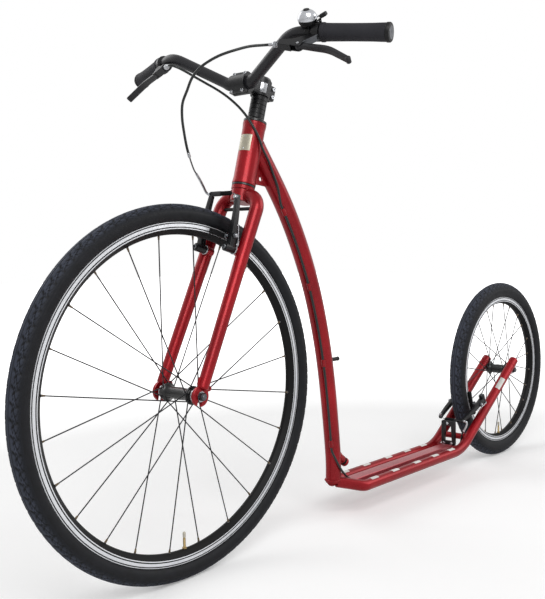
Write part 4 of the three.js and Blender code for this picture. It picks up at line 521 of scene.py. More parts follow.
def add(name, body, looks, replaces=None, slot=None, crease=38, sign=1, matrix=np.eye(4)):
    """One mesh from rows of (material, shape, shape, ...), mirrored if sign is -1 and then placed by
    the matrix. It rides on a body or waits to be blended. A list holds a material for each face."""
    points, faces, slots, index, base = [], [], [], {}, 0
    for mat, *shapes in looks:
        for verts, polys in shapes:
            each = mat if isinstance(mat, list) else [mat] * len(polys)
            slots += [index.setdefault(found, len(index)) for found in each]
            points.append(verts * vec(1, sign, 1) @ matrix[:3, :3].T + matrix[:3, 3])
            faces += [[i + base for i in face[::sign]] for face in polys]
            base += len(verts)
    mesh = bpy.data.meshes.new(name)
    mesh.from_pydata((np.concatenate(points) * MM).tolist(), [], faces)
    for mat in index:
        mesh.materials.append(mat)
    mesh.polygons.foreach_set("material_index", np.array(slots, np.int32))
    mesh.shade_smooth()
    mesh.set_sharp_from_angle(angle=math.radians(crease))
    mesh.update()
    obj = bpy.data.objects.new(name, mesh)
    bpy.context.scene.collection.objects.link(obj)
    if body:
        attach(obj, body)
    if replaces:
        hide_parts(replaces)
    return obj


# Wheels: sizes and shapes about the axle, whose line is Y

RIM_LIP = 6
WHEELS = {
    "front": dict(centre=vec(555, 0, 350), tyre=350, width=40, bead=311, depth=23.3, lead=52, pitches=84,
                  half=50.7, flange=34, collar=46),
    "rear": dict(centre=vec(-655, 0, 250), tyre=250, width=42, bead=203, depth=19.1, lead=64, pitches=60,
                 half=41.2, flange=26.5, collar=30.5),
}
for wheel in WHEELS.values():
    wheel["lip"] = wheel["bead"] + RIM_LIP
    wheel["spine"] = wheel["lip"] - wheel["depth"]
SPOKES, SPOKE_PHASE, SPOKE_SEAT = 24, 82.6, 2.5
SPOKE_RING, FLANGE_HALF = 15, 1.7
RIM_HALF, RIM_FACETS = 12, 240
AXLE_SLOT = 4.8
TYRE_FOOT, TYRE_WRAP = 9.2, 135
TYRE_ROWS, TREAD_STEPS = 71, 14
TREAD_SHARE = 0.52
CUT_DEPTH, STEP_DEPTH = 1.5, 0.5


def wheel_tyre(name, w):
    """The casing runs round the bulge angle b: radius tyre - rise + rise cos b - d cos b, and across
    W / 2 sin b - d sin b. The depth d(a, b) holds the cuts: two rings beside the crown, a wavy line
    along each side, slanted leaves, finer veins against them near the shoulder and a step above the
    side wall."""
    wrap = math.radians(TYRE_WRAP)
    rise = (w["tyre"] - w["lip"] - 1.5) / (1 - math.cos(wrap))
    lateral = np.linspace(-1, 1, TYRE_ROWS)
    bulge = lateral * wrap
    turns = np.linspace(0, TAU, w["pitches"] * TREAD_STEPS, endpoint=False)[:, None]
    pitch = turns * w["pitches"] / TAU
    s = np.abs(bulge / math.radians(66)) + 0 * pitch

    def line(field, width):
        """1 in the middle of a cut where the field is whole, 0 beyond its half width."""
        return np.clip(1 - np.abs((field + 0.5) % 1 - 0.5) / width, 0, 1) ** 0.5

    def band(low, high):
        return np.clip((s - low) / 0.05, 0, 1) * np.clip((high - s) / 0.05, 0, 1)

    wave = 0.16 * np.sin(TAU * 1.7 * s)
    leaves = line(pitch + 2.1 * s + wave, 0.13) * band(0.2, 0.95)
    veins = line(2 * pitch - 0.9 * s + 3 * wave, 0.15) * band(0.52, 1.02)
    path = line(s - 0.5 - 0.07 * np.sin(TAU * (pitch + 2.1 * s)), 0.04) * (s < 0.9)
    rings = np.maximum(line(s - 0.1, 0.03) * (s < 0.4), line(s - 0.2, 0.025) * (s < 0.5))
    step = STEP_DEPTH * np.exp(-((s - 1.12) / 0.06) ** 2)
    depth = CUT_DEPTH * np.max([path, leaves, 0.8 * veins, rings], 0)
    depth += step * (1 + 0.25 * np.sign(np.sin(turns * w["pitches"] * 2)))
    r = w["tyre"] - rise + (rise - depth) * np.cos(bulge)
    y = (w["width"] / 2 - depth) * np.sin(bulge)
    foot = np.ones_like(turns) * [w["bead"] + 0.3, w["lip"] + 0.3]
    r = np.hstack([foot, r, foot[:, ::-1]])
    y = np.pad(y, ((0, 0), (2, 2)), constant_values=((0, 0), (-TYRE_FOOT, TYRE_FOOT)))
    points, faces = skin(np.stack([r * np.cos(turns), y, r * np.sin(turns)], -1), closed=True)
    share = np.pad(np.abs(lateral), 2, constant_values=1)
    looks = [TYRE if at < TREAD_SHARE else TYRE_SIDE for at in share] * len(turns)
    obj = add(f"{name}_tyre_casing", f"{name}_wheel", [(looks, (points + w["centre"], faces))],
              f"{name}_tyre", "tyre_rubber", crease=50)
    # Painted shade: the cuts are darkened by their depth; the tread also grows darker towards the side wall.
    shade = np.clip((s - 0.62) / 0.4, 0, 0.85)
    groove_shade = np.pad(np.clip(np.maximum(depth / 1.1, shade), 0, 1), ((0, 0), (2, 2)))
    stored = obj.data.attributes.new("groove_shade", "FLOAT", "POINT")
    stored.data.foreach_set("value", groove_shade.ravel().astype(np.float32))


def wheel_rim(name, w):
    """A V-shaped black rim with turned silver bands, parted by dark grooves, where the pads press."""
    top, spine, bead, face, sunk = w["lip"], w["spine"], w["bead"], RIM_HALF, RIM_HALF - 0.6
    track = top - 13
    half = [(spine, 0), (spine + 0.2, 2.4), (spine + 1.6, 5), (track - 1.4, 10.6), (track - 0.6, face - 0.3),
            (track, face), (top - 11.2, face), (top - 11, sunk), (top - 9.2, sunk), (top - 9, face),
            (top - 3.6, face), (top - 3.4, sunk), (top - 1.8, sunk), (top - 1.6, face), (top - 0.4, face),
            (top, face - 0.5), (top, 9.9), (top - 0.7, 9.5), (bead + 0.4, 9.5), (bead, 9.1)]
    profile = np.array(half + [(r, -y) for r, y in half[:0:-1]])
    metal = turned_metal(f"{name}_brake_track", (232, 234, 238), (204, 206, 211), tuple(w["centre"] * MM))
    flat = (np.abs(profile[:, 1]) > sunk) & (profile[:, 0] >= track)
    silver = np.repeat(flat & np.roll(flat, -1), RIM_FACETS)
    each = [metal if bright else RIM_BLACK for bright in silver]
    looks = [(each, turned(profile, w["centre"], Y, RIM_FACETS))]
    for k in range(SPOKES):
        out = polar(SPOKE_PHASE - 360 * k / SPOKES)
        foot = w["centre"] + out * (spine + 0.4) + Y * (SPOKE_SEAT if k % 2 else -SPOKE_SEAT)
        looks.append((DULL_STEEL, turned([(0, 0), (2.6, 0), (2.6, 0.5), (2, 0.9), (0, 0.9)], foot, -out, 16)))
    add(f"{name}_rim_shell", f"{name}_wheel", looks, f"{name}_rim", "black_metal", crease=30)


def spoke(w, k):
    """Spoke k with its elbow and head at the flange, and its nipple at the rim."""
    rim_angle = SPOKE_PHASE - 360 * k / SPOKES
    lead, side = w["lead"] if k // 2 % 2 else -w["lead"], Y * (1 if k % 2 else -1)
    seat = w["centre"] + SPOKE_RING * polar(rim_angle + lead) + side * w["flange"]
    rim = w["centre"] + w["spine"] * polar(rim_angle) + side * SPOKE_SEAT
    out = side * (1.9 if k // 2 % 2 else -1.9)
    way, head = unit(rim - seat - out), seat - out
    elbow = smooth([head, seat + out * 0.4, seat + out + way * 1.4, seat + out + way * 6], 8)
    wire = tube(np.concatenate([elbow, even([seat + out + way * 8, rim - way * 5], 2)]), 1.15, count=8)
    nipple = [(0, 0), (1.1, 0), (1.7, 1.2), (1.7, 4), (2, 4.6), (2, 8.2), (0, 8.2)]
    return [(SPOKE, wire, ball(head, 1.9, 10, out, 0.6)), (NIPPLE, turned(nipple, rim - way * 8, way, 10))]


def wheel_hub(name, w):
    centre, half, flange, collar = w["centre"], w["half"], w["flange"], w["collar"]
    inner, outer = flange - FLANGE_HALF, flange + FLANGE_HALF
    right = [(12, 0), (11.2, inner * 0.5), (11.6, inner - 8), (13, inner - 4), (16.4, inner - 0.4),
             (17.5, inner + 0.4), (17.5, outer - 0.5), (17, outer), (14, outer), (13.5, outer + 0.5),
             (13.5, collar - 0.8), (12.8, collar), (7.6, collar), (7, collar + 0.5), (7, half - 0.4),
             (6.6, half), (4.8, half)]
    looks = [(GLOSS_BLACK, turned([(r, -y) for r, y in right[:0:-1]] + right, centre, Y, 64))]
    for side in (-Y, Y):
        ring = [(13.2, 0), (13.9, 0.2), (13.9, 1.8), (13.2, 2)]
        looks += [(DULL_STEEL, washer(centre + side * (collar + 0.1), side, 7.4, 12, 0.3, 48)),
                  (DOME, turned(ring, centre + side * (collar - 2.7), side, 48))]
    add(f"{name}_hub_shell", f"{name}_wheel", looks, f"{name}_hub", "black_metal")
    wires = [row for k in range(SPOKES) for row in spoke(w, k)]
    add(f"{name}_spokes", f"{name}_wheel", wires, slot="steel")


def wheel_valve(name, w):
    foot = w["centre"] - Z * w["spine"]
    threads = [(r, low + 1.4 * i) for i in range(12) for r, low in ((2.7, 3.2), (2.35, 3.9))]
    stem = [(0, 0), (4.4, 0), (4.4, 2.4), (3.2, 2.8)] + threads + [(2.3, 20.5), (2.3, 22), (0, 22)]
    cap = [(0, 21.5), (2.6, 21.5), (3, 22.2), (3, 30), (2.4, 31.6), (0, 32)]
    looks = [(BRASS, turned(stem, foot, Z, 20)), (CAP_PLASTIC, turned(cap, foot, Z, 14))]
    add(f"{name}_valve_stem", f"{name}_wheel", looks, f"{name}_valve", "valve_brass")


for wheel_name, wheel in WHEELS.items():
    for make in (wheel_tyre, wheel_rim, wheel_hub, wheel_valve):
        make(wheel_name, wheel)


# The steering frame: its Z is the steering axis, and its origin is level with the front axle

HEAD_TILT, FORK_OFFSET = 16, 63.5
STEER_X, STEER_Z = polar(HEAD_TILT), polar(HEAD_TILT, Z, -X)
STEER_FOOT = WHEELS["front"]["centre"] - FORK_OFFSET * STEER_X
STEER = frame_of(STEER_FOOT, STEER_X, Y, STEER_Z)


def steering(name, looks, replaces=None, slot=None, body="steering", **options):
    """A piece built in the steering frame."""
    return add(name, body, looks, replaces, slot, matrix=STEER, **options)


# Frame: head tube, down tube and their fittings

TUBE_SHARES = vec(0, 0, -0.005, 0.06, 0.02, 0.164, 0.091, 0.351, 0.168, 0.475, 0.281, 0.6, 0.436, 0.72,
                  0.652, 0.846, 1, 1).reshape(-1, 2)
TUBE_FOOT, TUBE_TOP = vec(112, 0, 84), vec(342.5, 0, 819.4)
TUBE_LOW, TUBE_GROW = 17.8, 2.2
DOWN_LINE = smooth(TUBE_FOOT + (TUBE_TOP - TUBE_FOOT) * np.insert(TUBE_SHARES, 1, 0, axis=1), 120)
GUIDE_HEIGHTS = (698.8, 537, 364, 178)
HEAD_LOW, HEAD_LENGTH = 424.3, 127.2


def on_down_tube(height):
    """The tube's centre and heading at a height above the floor."""
    i = int(np.clip(np.searchsorted(DOWN_LINE[:, 2], height), 1, len(DOWN_LINE) - 1))
    a, b = DOWN_LINE[i - 1], DOWN_LINE[i]
    return a + (b - a) * (height - a[2]) / (b[2] - a[2]), unit(b - a)


def tube_radius(height):
    return TUBE_LOW + TUBE_GROW * (height - TUBE_FOOT[2]) / (TUBE_TOP - TUBE_FOOT)[2]


def cable_on_tube(height):
    place, way = on_down_tube(height)
    return place + polar(33, np.cross(Y, way), Y) * (tube_radius(height) + 3.1)


def down_tube():
    def outline(share):
        """A circle drawn in a little between its four quarter points."""
        u, v = np.transpose(circle(TUBE_LOW + TUBE_GROW * share, 64))
        return np.stack([u * (1 - 0.04 * np.abs(np.sin(2 * np.arctan2(v, u)))), v], 1)

    shapes = [sweep(DOWN_LINE, outline, Y)]
    for height in GUIDE_HEIGHTS:
        centre, (place, way) = cable_on_tube(height), on_down_tube(height)
        shapes += [rod(centre - way * 8, centre + way * 8, 4.6, 28, 0.8),
                   ball(centre + unit(place - centre) * 2.6, 5.2, 20, way, 1.7)]
    foot, plug_way = on_down_tube(152)[0], polar(180 + 36)
    shapes += [rod(foot, foot + plug_way * 33, 10, 48, 0.6),
               bead_ring(foot + plug_way * 20.5, plug_way, 10.2, 1.5, 26),
               bead_ring(TUBE_FOOT + Z * 5.5, on_down_tube(90)[1], 17.6, 2.2, 44)]
    bolts = []
    for height in (405, 315):
        place, way = on_down_tube(height)
        back = np.cross(way, Y)
        seat = place + back * (tube_radius(height) - 0.6)
        shapes.append(washer(seat, back, 0, 5, 1.2, top=4.4))
        bolts.append(bolt(seat + back * 1.1, back, 3.6, 2.2))
    add("down_tube_shell", "frame", [(RED, *shapes), (DULL_STEEL, *bolts)], "down_tube", "frame_red")
    start = foot + plug_way * 33.3
    plug = [(0, 0), (10, 0), (10, 6.6), (9.7, 7), (8.4, 7.4), (8.4, 14.2), (9.7, 14.8), (10, 15.2),
            (10, 20.8), (9, 22), (0, 22)]
    ring = [(8.3, 7.4), (9.2, 7.6), (9.2, 14), (8.3, 14.2)]
    looks = [(RED, turned(plug, start, plug_way, 48)), (PAD_RUBBER, turned(ring, start, plug_way, 40))]
    add("tube_plug_cap", "frame", looks, "tube_plug", "frame_red")
    place = on_down_tube(363)[0]
    peg = [(0, 16), (4.5, 16), (4.5, 44.5), (4.9, 45), (4.9, 47.4), (4.2, 48), (0, 48)]
    collar = [(0, 15), (7, 15), (6.4, 19.4), (4.6, 20.6), (0, 20.6)]
    looks = [(PLASTIC, turned(peg, place, -X, 32)), (RED, turned(collar, place, -X, 36))]
    add("tube_peg_pin", "frame", looks, "tube_peg", "black_plastic")


def head_tube():
    """The tube with its flared ends, and the two headset cups at them."""
    low = [(17.5, 0), (23.1, 0), (23.6, 0.5), (23.6, 3), (23.2, 6), (22.5, 12)]
    high = [(22.5, 12), (23.2, 6), (23.5, 3), (23.5, 0.5), (23.1, 0), (17.5, 0)]
    flare = low + [(r, HEAD_LENGTH - h) for r, h in high]
    lower_cup = [(14.6, 0), (22.4, 0), (23.2, 0.5), (23.2, 3.5), (22.6, 4), (14.6, 4)]
    upper_cup = [(14.6, 0), (22.6, 0), (23.2, 0.5), (23.2, 4.8), (22.6, 5.2), (20.6, 5.4), (20.2, 6.2),
                 (17.4, 9), (14.6, 9.2)]
    for name, node, profile, height, facets, mat, slot in (
            ("head_tube_shell", "head_tube", flare, HEAD_LOW, 96, RED, "frame_red"),
            ("headset_lower_cup", "headset_lower", lower_cup, 420, 72, GLOSS_BLACK, "black_metal"),
            ("headset_upper_cup", "headset_upper", upper_cup, 551.8, 72, GLOSS_BLACK, "black_metal")):
        steering(name, [(mat, turned(profile, Z * height, Z, facets))], node, slot, body="frame")


def head_plate():
    """A bare plate, bent round the front of the head tube, with two small rivets."""
    middle = 9
    section = ((22.3, 489), (23.05, 489), (23.25, 490), (23.25, 521), (23.05, 522), (22.3, 522))
    out = polar(middle, X, Y)
    rivets = [ball(out * 23.1 + Z * height, 1.7, 14, out, 0.6) for height in (493.5, 517.5)]
    looks = [(PLATE, bowed(section, middle - 36, middle + 36, 24)), (STEEL, *rivets)]
    steering("head_plate", looks, slot="steel", body="frame")


def gusset():
    """A web below the head tube's joint, pierced by three holes, with a weld along each side."""
    low = STEER_FOOT + STEER_Z * (HEAD_LOW + 6)
    back = on_down_tube(low[2] - 6)[0]
    top = STEER_FOOT + STEER_Z * (HEAD_LOW + HEAD_LENGTH / 2)
    middles = [back + (low - back) * share + Z * 11 for share in (0.3, 0.5, 0.7)]
    holes = [circle(4.5, 20, x, z) for x, _, z in middles]
    web = slab([low[::2], top[::2], back[::2]], 5, ORIGIN, X, Z, 0.6, holes)
    add("head_gusset_web", "frame", [(RED, web)], "head_gusset", "frame_red")
    seams = []
    for sign in (1, -1):
        line = [back + vec(14, 3 * sign, -1), (back + low) / 2 + Y * 3.2 * sign, low + vec(-8, 3 * sign, 0)]
        seams.append(sweep(even(line, 40), lambda s: circle(1.1 * (1 + 0.15 * math.sin(90 * s)), 10)))
    add("head_seams", "frame", [(RED, *seams)], slot="frame_red")


down_tube()
head_tube()
head_plate()
gusset()


# Deck: two tubes that rise into the stays, the rail between them, and what they carry

DECK_Z, DECK_Y, DECK_R = 69.0, 43.5, 12.6
STAY_WAY = polar(35.26, -X)
NOSE, DECK_FRONT, DECK_REAR = vec(118, 0, 88), vec(54, DECK_Y, DECK_Z), vec(-373, DECK_Y, DECK_Z)
STAY_LENGTH = 358.8
STAY_END = DECK_REAR + STAY_WAY * STAY_LENGTH
REAR_AXLE = WHEELS["rear"]["centre"]
PIVOT_WAY, PIVOT_OUT = polar(24, Z, X), polar(24, X, -Z)
REAR_PIVOT = vec(-4, 40, 175.25)


def wrapped(places, up, start, end, steps, proud):
    """A thin patch on a tube of the deck, between two angles from Y towards up."""
    outline = arc(0, 0, DECK_R + proud, start, end, steps) + arc(0, 0, DECK_R - 0.6, end, start, steps)
    return loft(places, [outline] * len(places), Y, up)


def deck_tube(name, sign):
    start = NOSE + unit(DECK_FRONT - NOSE) * DECK_R
    line = bent([start, DECK_FRONT, DECK_REAR, STAY_END], [30, 120])
    disc = arc(0, 0, 13, -68, 40) + [(20, 22), (14, 30)] + arc(0, 0, 13, 115, 248, 18)
    disc += arc(0, 0, AXLE_SLOT, 180, 0, 10)
    eyelet = [(2.6, -2.5), (5, -2.5), (5.2, 0), (5, 2.5), (2.6, 2.5)]
    boss = REAR_AXLE + REAR_PIVOT @ [PIVOT_WAY, Y, PIVOT_OUT]
    shapes = [tube(line, DECK_R, count=48), slab(disc, 5, REAR_AXLE + Y * 44, X, Z, 0.6),
              turned(eyelet, REAR_AXLE + vec(20, 44, 16.5), Y, 28),
              bead_ring(STAY_END - STAY_WAY * 25, STAY_WAY, DECK_R - 0.2, 1.2, 30),
              rod(boss - PIVOT_WAY * 20, boss, 8.2),
              bead_ring(boss - PIVOT_WAY * 8, PIVOT_WAY, 8.2, 1.1, 20, 60)]
    patches = [wrapped([vec(x + step, DECK_Y, DECK_Z) for step in (-13, 0, 13)], Z, 58, 122, 12, 0.45)
               for x in (18, -66, -159, -241, -318)]
    looks = [(RED, *shapes), (PATCH, *patches)]
    if sign > 0:
        places = [DECK_REAR + STAY_WAY * reach for reach in (230, 251, 272)]
        looks.append((REFLECTOR, wrapped(places, np.cross(Y, STAY_WAY), 18, 84, 14, 0.3)))
    add(f"deck_tube_{name}_shell", "frame", looks, f"deck_tube_{name}", "frame_red", sign=sign)


def deck_rail():
    top = 79.5
    half = [(13.5, -3.5), (13.5, -14), (16, -14), (16, -1.2), (15, -0.2), (13, 0)]
    section = np.array([(-y, z) for y, z in half[2::-1]] + half + [(-y, z) for y, z in half[:2:-1]])
    places = [vec(x, 0, top) for x in (56, 55.4, -369, -369.7)]
    rail = loft(places, [section * keep for keep in (0.985, 1, 1, 0.985)], Y, Z)
    # The rail takes the lighter red with its painted highlight.
    looks = [(RAIL_RED_PAINTED_LIGHT, rail), (RED, box((34, -31, 62.75), (56, 31, 66.75)))]
    add("deck_rail_channel", "frame", looks, "deck_rail", "frame_red", crease=25)
    seams = [rod(vec(x, 32 * side, 75.4), vec(x, 33.8 * side, 75.9), 2, 12)
             for x in (-374, -384) for side in (1, -1)]
    # The cross plate's bar takes the lighter red with its painted highlight.
    looks = [(RAIL_RED_PAINTED_LIGHT, box((-388, -33, 72), (-370, 33, 76))), (RED, *seams)]
    add("rear_cross_plate_bar", "frame", looks, "rear_cross_plate", "frame_red")


def stay_bridge():
    left = DECK_REAR + STAY_WAY * 46.5
    shapes = [rod(left * vec(1, -0.79, 1), left * vec(1, 0.79, 1), 8)]
    shapes += [bead_ring(left * vec(1, share, 1), Y, 8.4, 1.6, 20, 60) for share in (0.72, -0.72)]
    add("stay_bridge_rod", "frame", [(RED, *shapes)], "stay_bridge", "frame_red")


def bracket():
    """The upright frame on the cross plate, whose head holds the rear cable."""
    window = [(-13, 86.3), (13, 86.3), (10.2, 129), (-10.2, 129)]
    shape = slab(rounded(20, 76.3, 142, 4), 10, vec(-380, 0, 0), Y, Z, 0.7, [window[::-1]])
    feet = [vec(-375, y, 81.5) for y in (-12, 12)]
    bolts = [bolt(foot, X, 3.2, 2.6) for foot in feet] + [bolt(vec(-375, 0, 135.5), X, 3.6, 2.4)]
    washers = [washer(foot - X * 0.1, X, 0, 5.2, 0.7) for foot in feet]
    looks = [(BLACK, shape), (STEEL, *bolts), (DULL_STEEL, *washers)]
    add("rear_bracket_frame", "frame", looks, "rear_cable_bracket", "black_metal", crease=30)


def axle(name, body, start):
    """Washers, hex nuts and the ends of the axle."""
    centre, reach = WHEELS[name]["centre"], Y * (start + 10.2)
    looks = [(DULL_STEEL, rod(centre - reach, centre + reach, 4.4, 28, 0.8))]
    for way in (Y, -Y):
        at = centre + way * start
        looks += [(STEEL, turned([(4, 0), (9.2, 0), (9.5, 0.3), (9.5, 1.2), (4, 1.2)], at, way, 44)),
                  (SPOKE, nut(at + way * 1.2, at + way * 8.2, 8)),
                  (DULL_STEEL, washer(at + way * 7.6, way, 4.2, 6.4, 1, 36, 6))]
    add(f"{name}_axle_nuts", body, looks, f"{name}_axle", "steel")


for side_name, side_sign in SIDES:
    deck_tube(side_name, side_sign)
deck_rail()
stay_bridge()
bracket()
axle("front", "steering", 57.3)
axle("rear", "frame", 46.8)


# Fork, headset spacers and stem, in the steering frame

FRONT_PIVOT = vec(31, 40, 283.25)
BAR = vec(54.5, 0, 613.5)


def fork():
    crown = [(0, 388), (20.6, 388), (21.5, 389), (21.5, 411.6), (22.2, 412.4), (23, 413), (23, 419.2),
             (22.6, 419.7), (14.3, 419.7), (14.3, 640.4), (13.6, 641), (0, 641)]
    steering("fork_crown_body", [(RED, turned(crown, ORIGIN, Z, 96))], "fork_crown", "frame_red")
    bridge = rod(vec(2.6, -38, 374), vec(2.6, 38, 374), 3.5, 24)
    steering("fork_bridge", [(BLACK, bridge)], "fork_bridge_rod", "black_metal")
    path = bent([vec(0, 16.6, 401), vec(-1.9, 49.6, 401), vec(62.2, 55.8, 17)], [32])
    foot = arc(0, 0, 19, -75.37, 62, 22) + [(11, 22), (9.5, 34), (-10, 34), (-12, 22)]
    foot += arc(0, 0, 19, 120, 255.37, 22) + arc(0, 0, AXLE_SLOT, 180, 0, 12)
    eyelet = [(2.6, -3), (4.7, -3), (5, -2.6), (5, 2.6), (4.7, 3), (2.6, 3)]
    shapes = [tube(path, 13.8, 11, 48), slab(foot, 6, vec(FORK_OFFSET, 54, 0), X, Z, 0.7),
              turned(eyelet, vec(46.5, 54, 17), Y, 28), box((47, 52, 8), (58, 56, 20)),
              ball(path[-1], 11, 32, path[-1] - path[-3], 0.55),
              bead_ring(vec(0, 20.6, 401), Y, 14.2, 1.5, 34),
              rod(FRONT_PIVOT - X * 16, FRONT_PIVOT, 8.4, 36),
              bead_ring(FRONT_PIVOT - X * 6.2, X, 8.3, 1.1, 20, 60)]
    for name, sign in SIDES:
        steering(f"fork_leg_{name}_tube", [(RED, *shapes)], f"fork_leg_{name}", "frame_red", sign=sign)


def spacers():
    low, high, count = 561.3, 607.7, 5
    pitch = (high - low) / count
    ring = ((15.2, 0), (16.5, 0.5), (16.5, pitch - 0.5), (15.2, pitch))
    rings = [(r, low + pitch * i + h) for i in range(count) for r, h in ring]
    profile = [(14.6, low)] + rings + [(14.6, high)]
    steering("spacer_rings", [(BLACK, turned(profile, ORIGIN, Z, 72))], "spacer_stack", "black_metal")


def stem():
    def clamp_half(cut, outer, start, end):
        """Half of the clamp round the bar, from its cut face to its outer side."""
        low, high = 593, 634
        rim = arc(BAR[0], BAR[2], 18.5, start, end, 24)
        return slab([(cut, low), (cut, high), (outer, high)] + rim + [(outer, low)], 43, ORIGIN, X, Z, 0.8)

    clamp = [(0, 608), (19, 608), (19.5, 608.6), (19.5, 641.3), (19, 642), (0, 642)]
    neck = vec(10, 623, 13.5, 15, 20, 622.5, 13.2, 14.6, 30, 620, 13.6, 14, 38, 616.5, 16, 14.4,
               44, 614.5, 19.5, 15, 50, 613.5, 21.4, 16).reshape(-1, 4)
    outlines = [rounded(wide, -tall, tall, 6) for _, _, wide, tall in neck]
    ears = [box((-31, 1, 610), (-6, 9, 640), 1.6), box((-31, -9, 610), (-6, -1, 640), 1.6)]
    # A bright steel patch on the clamp's side that faces the camera: a polished face, and partly a painted
    # highlight.
    window = ((19.2, 613), (19.8, 613), (20, 613.6), (20, 632.4), (19.8, 633), (19.2, 633))
    bolts = [bolt(vec(-24.5, 9, z), Y, 3.8, 3.4) for z in (617, 633)]
    bolts += [rod(vec(-24.5, -9, z), vec(-24.5, -10.2, z), 3.2, 24) for z in (617, 633)]
    looks = [(BLACK, turned(clamp, ORIGIN, Z, 96), loft(np.insert(neck[:, :2], 1, 0, axis=1), outlines, Y, Z),
              clamp_half(53.5, 47, 115, 245), *ears), (STEEL, bowed(window, 36, 80, 14), *bolts)]
    steering("stem_forging", looks, "stem_body", "black_metal", crease=30)
    bolts = [bolt(vec(60.5, y, BAR[2] + z), X, 3.7, 4.4) for y in (-14.5, 14.5) for z in (-17.2, 17.2)]
    looks = [(BLACK, clamp_half(55.5, 62, 65, -65)), (STEEL, *bolts)]
    steering("stem_front_plate", looks, "stem_faceplate", "black_metal", crease=30)
    cap = [(0, 642.3), (16.6, 642.3), (17, 642.8), (17, 645.6), (15.6, 647.4), (6, 648.1), (5.6, 646.6),
           (0, 646.6)]
    looks = [(GLOSS_BLACK, turned(cap, ORIGIN, Z, 72)), (STEEL, bolt(Z * 646.4, Z, 4.6, 1.8))]
    steering("stem_top_cap", looks, "stem_cap", "black_metal")


# Bar, grips, levers and bell

ELBOW = vec(104, 163, 670)
GRIP_AHEAD, GRIP_WAY = polar(19.7, X, Y), polar(19.7, Y, -X)
GRIP_START = ELBOW + 58.5 * GRIP_WAY
LEVER_DOWN = polar(64, GRIP_AHEAD, -Z)
LEVER_HINGE = np.cross(GRIP_WAY, LEVER_DOWN)
ADJUSTER_DROP = 35
BELL_UP = polar(42, GRIP_AHEAD)
BELL_SIDE = np.cross(BELL_UP, GRIP_WAY)


def handlebar():
    half = [BAR + Y * 28, ELBOW, ELBOW + 184.2 * GRIP_WAY]
    line = bent([p * FLIP for p in half[::-1]] + half, [60, 40, 40, 60], math.radians(3))
    length = run(line)[-1]

    def outline(share):
        bulge = np.clip((44 - abs(share - 0.5) * length) / 14, 0, 1)
        return circle(11.1 + 1.6 * bulge * bulge * (3 - 2 * bulge), 48)

    steering("bar_tube", [(BAR_BLACK, sweep(even(line, 220), outline))], "handlebar", "black_metal")


def grip(name, sign):
    body = [(11.3, 0), (16.6, 0), (17.4, 0.8), (17.4, 6), (16.9, 7), (16.2, 7.6), (15.9, 18), (15.6, 60),
            (15.8, 95), (16.3, 114), (16.5, 121), (16.2, 122), (11.3, 122)]
    ring = [(0, 122), (16.8, 122), (17.4, 122.6), (17.4, 127.6), (16.4, 129.2), (12.6, 129.8), (0, 129.8)]
    disc = [(0, 129.5), (11.6, 129.5), (11.8, 129.8), (11.6, 130.2), (3, 130.3), (2.6, 129.9), (0, 129.9)]
    looks = [(mat, turned(profile, GRIP_START, GRIP_WAY, facets)) for mat, profile, facets in
             ((RUBBER, body, 64), (PLASTIC, ring, 64), (DULL_STEEL, disc, 48))]
    steering(f"grip_{name}_sleeve", looks, f"grip_{name}", "black_rubber", sign=sign)


def at_lever(place, drop):
    return GRIP_START + GRIP_WAY * place + LEVER_DOWN * drop


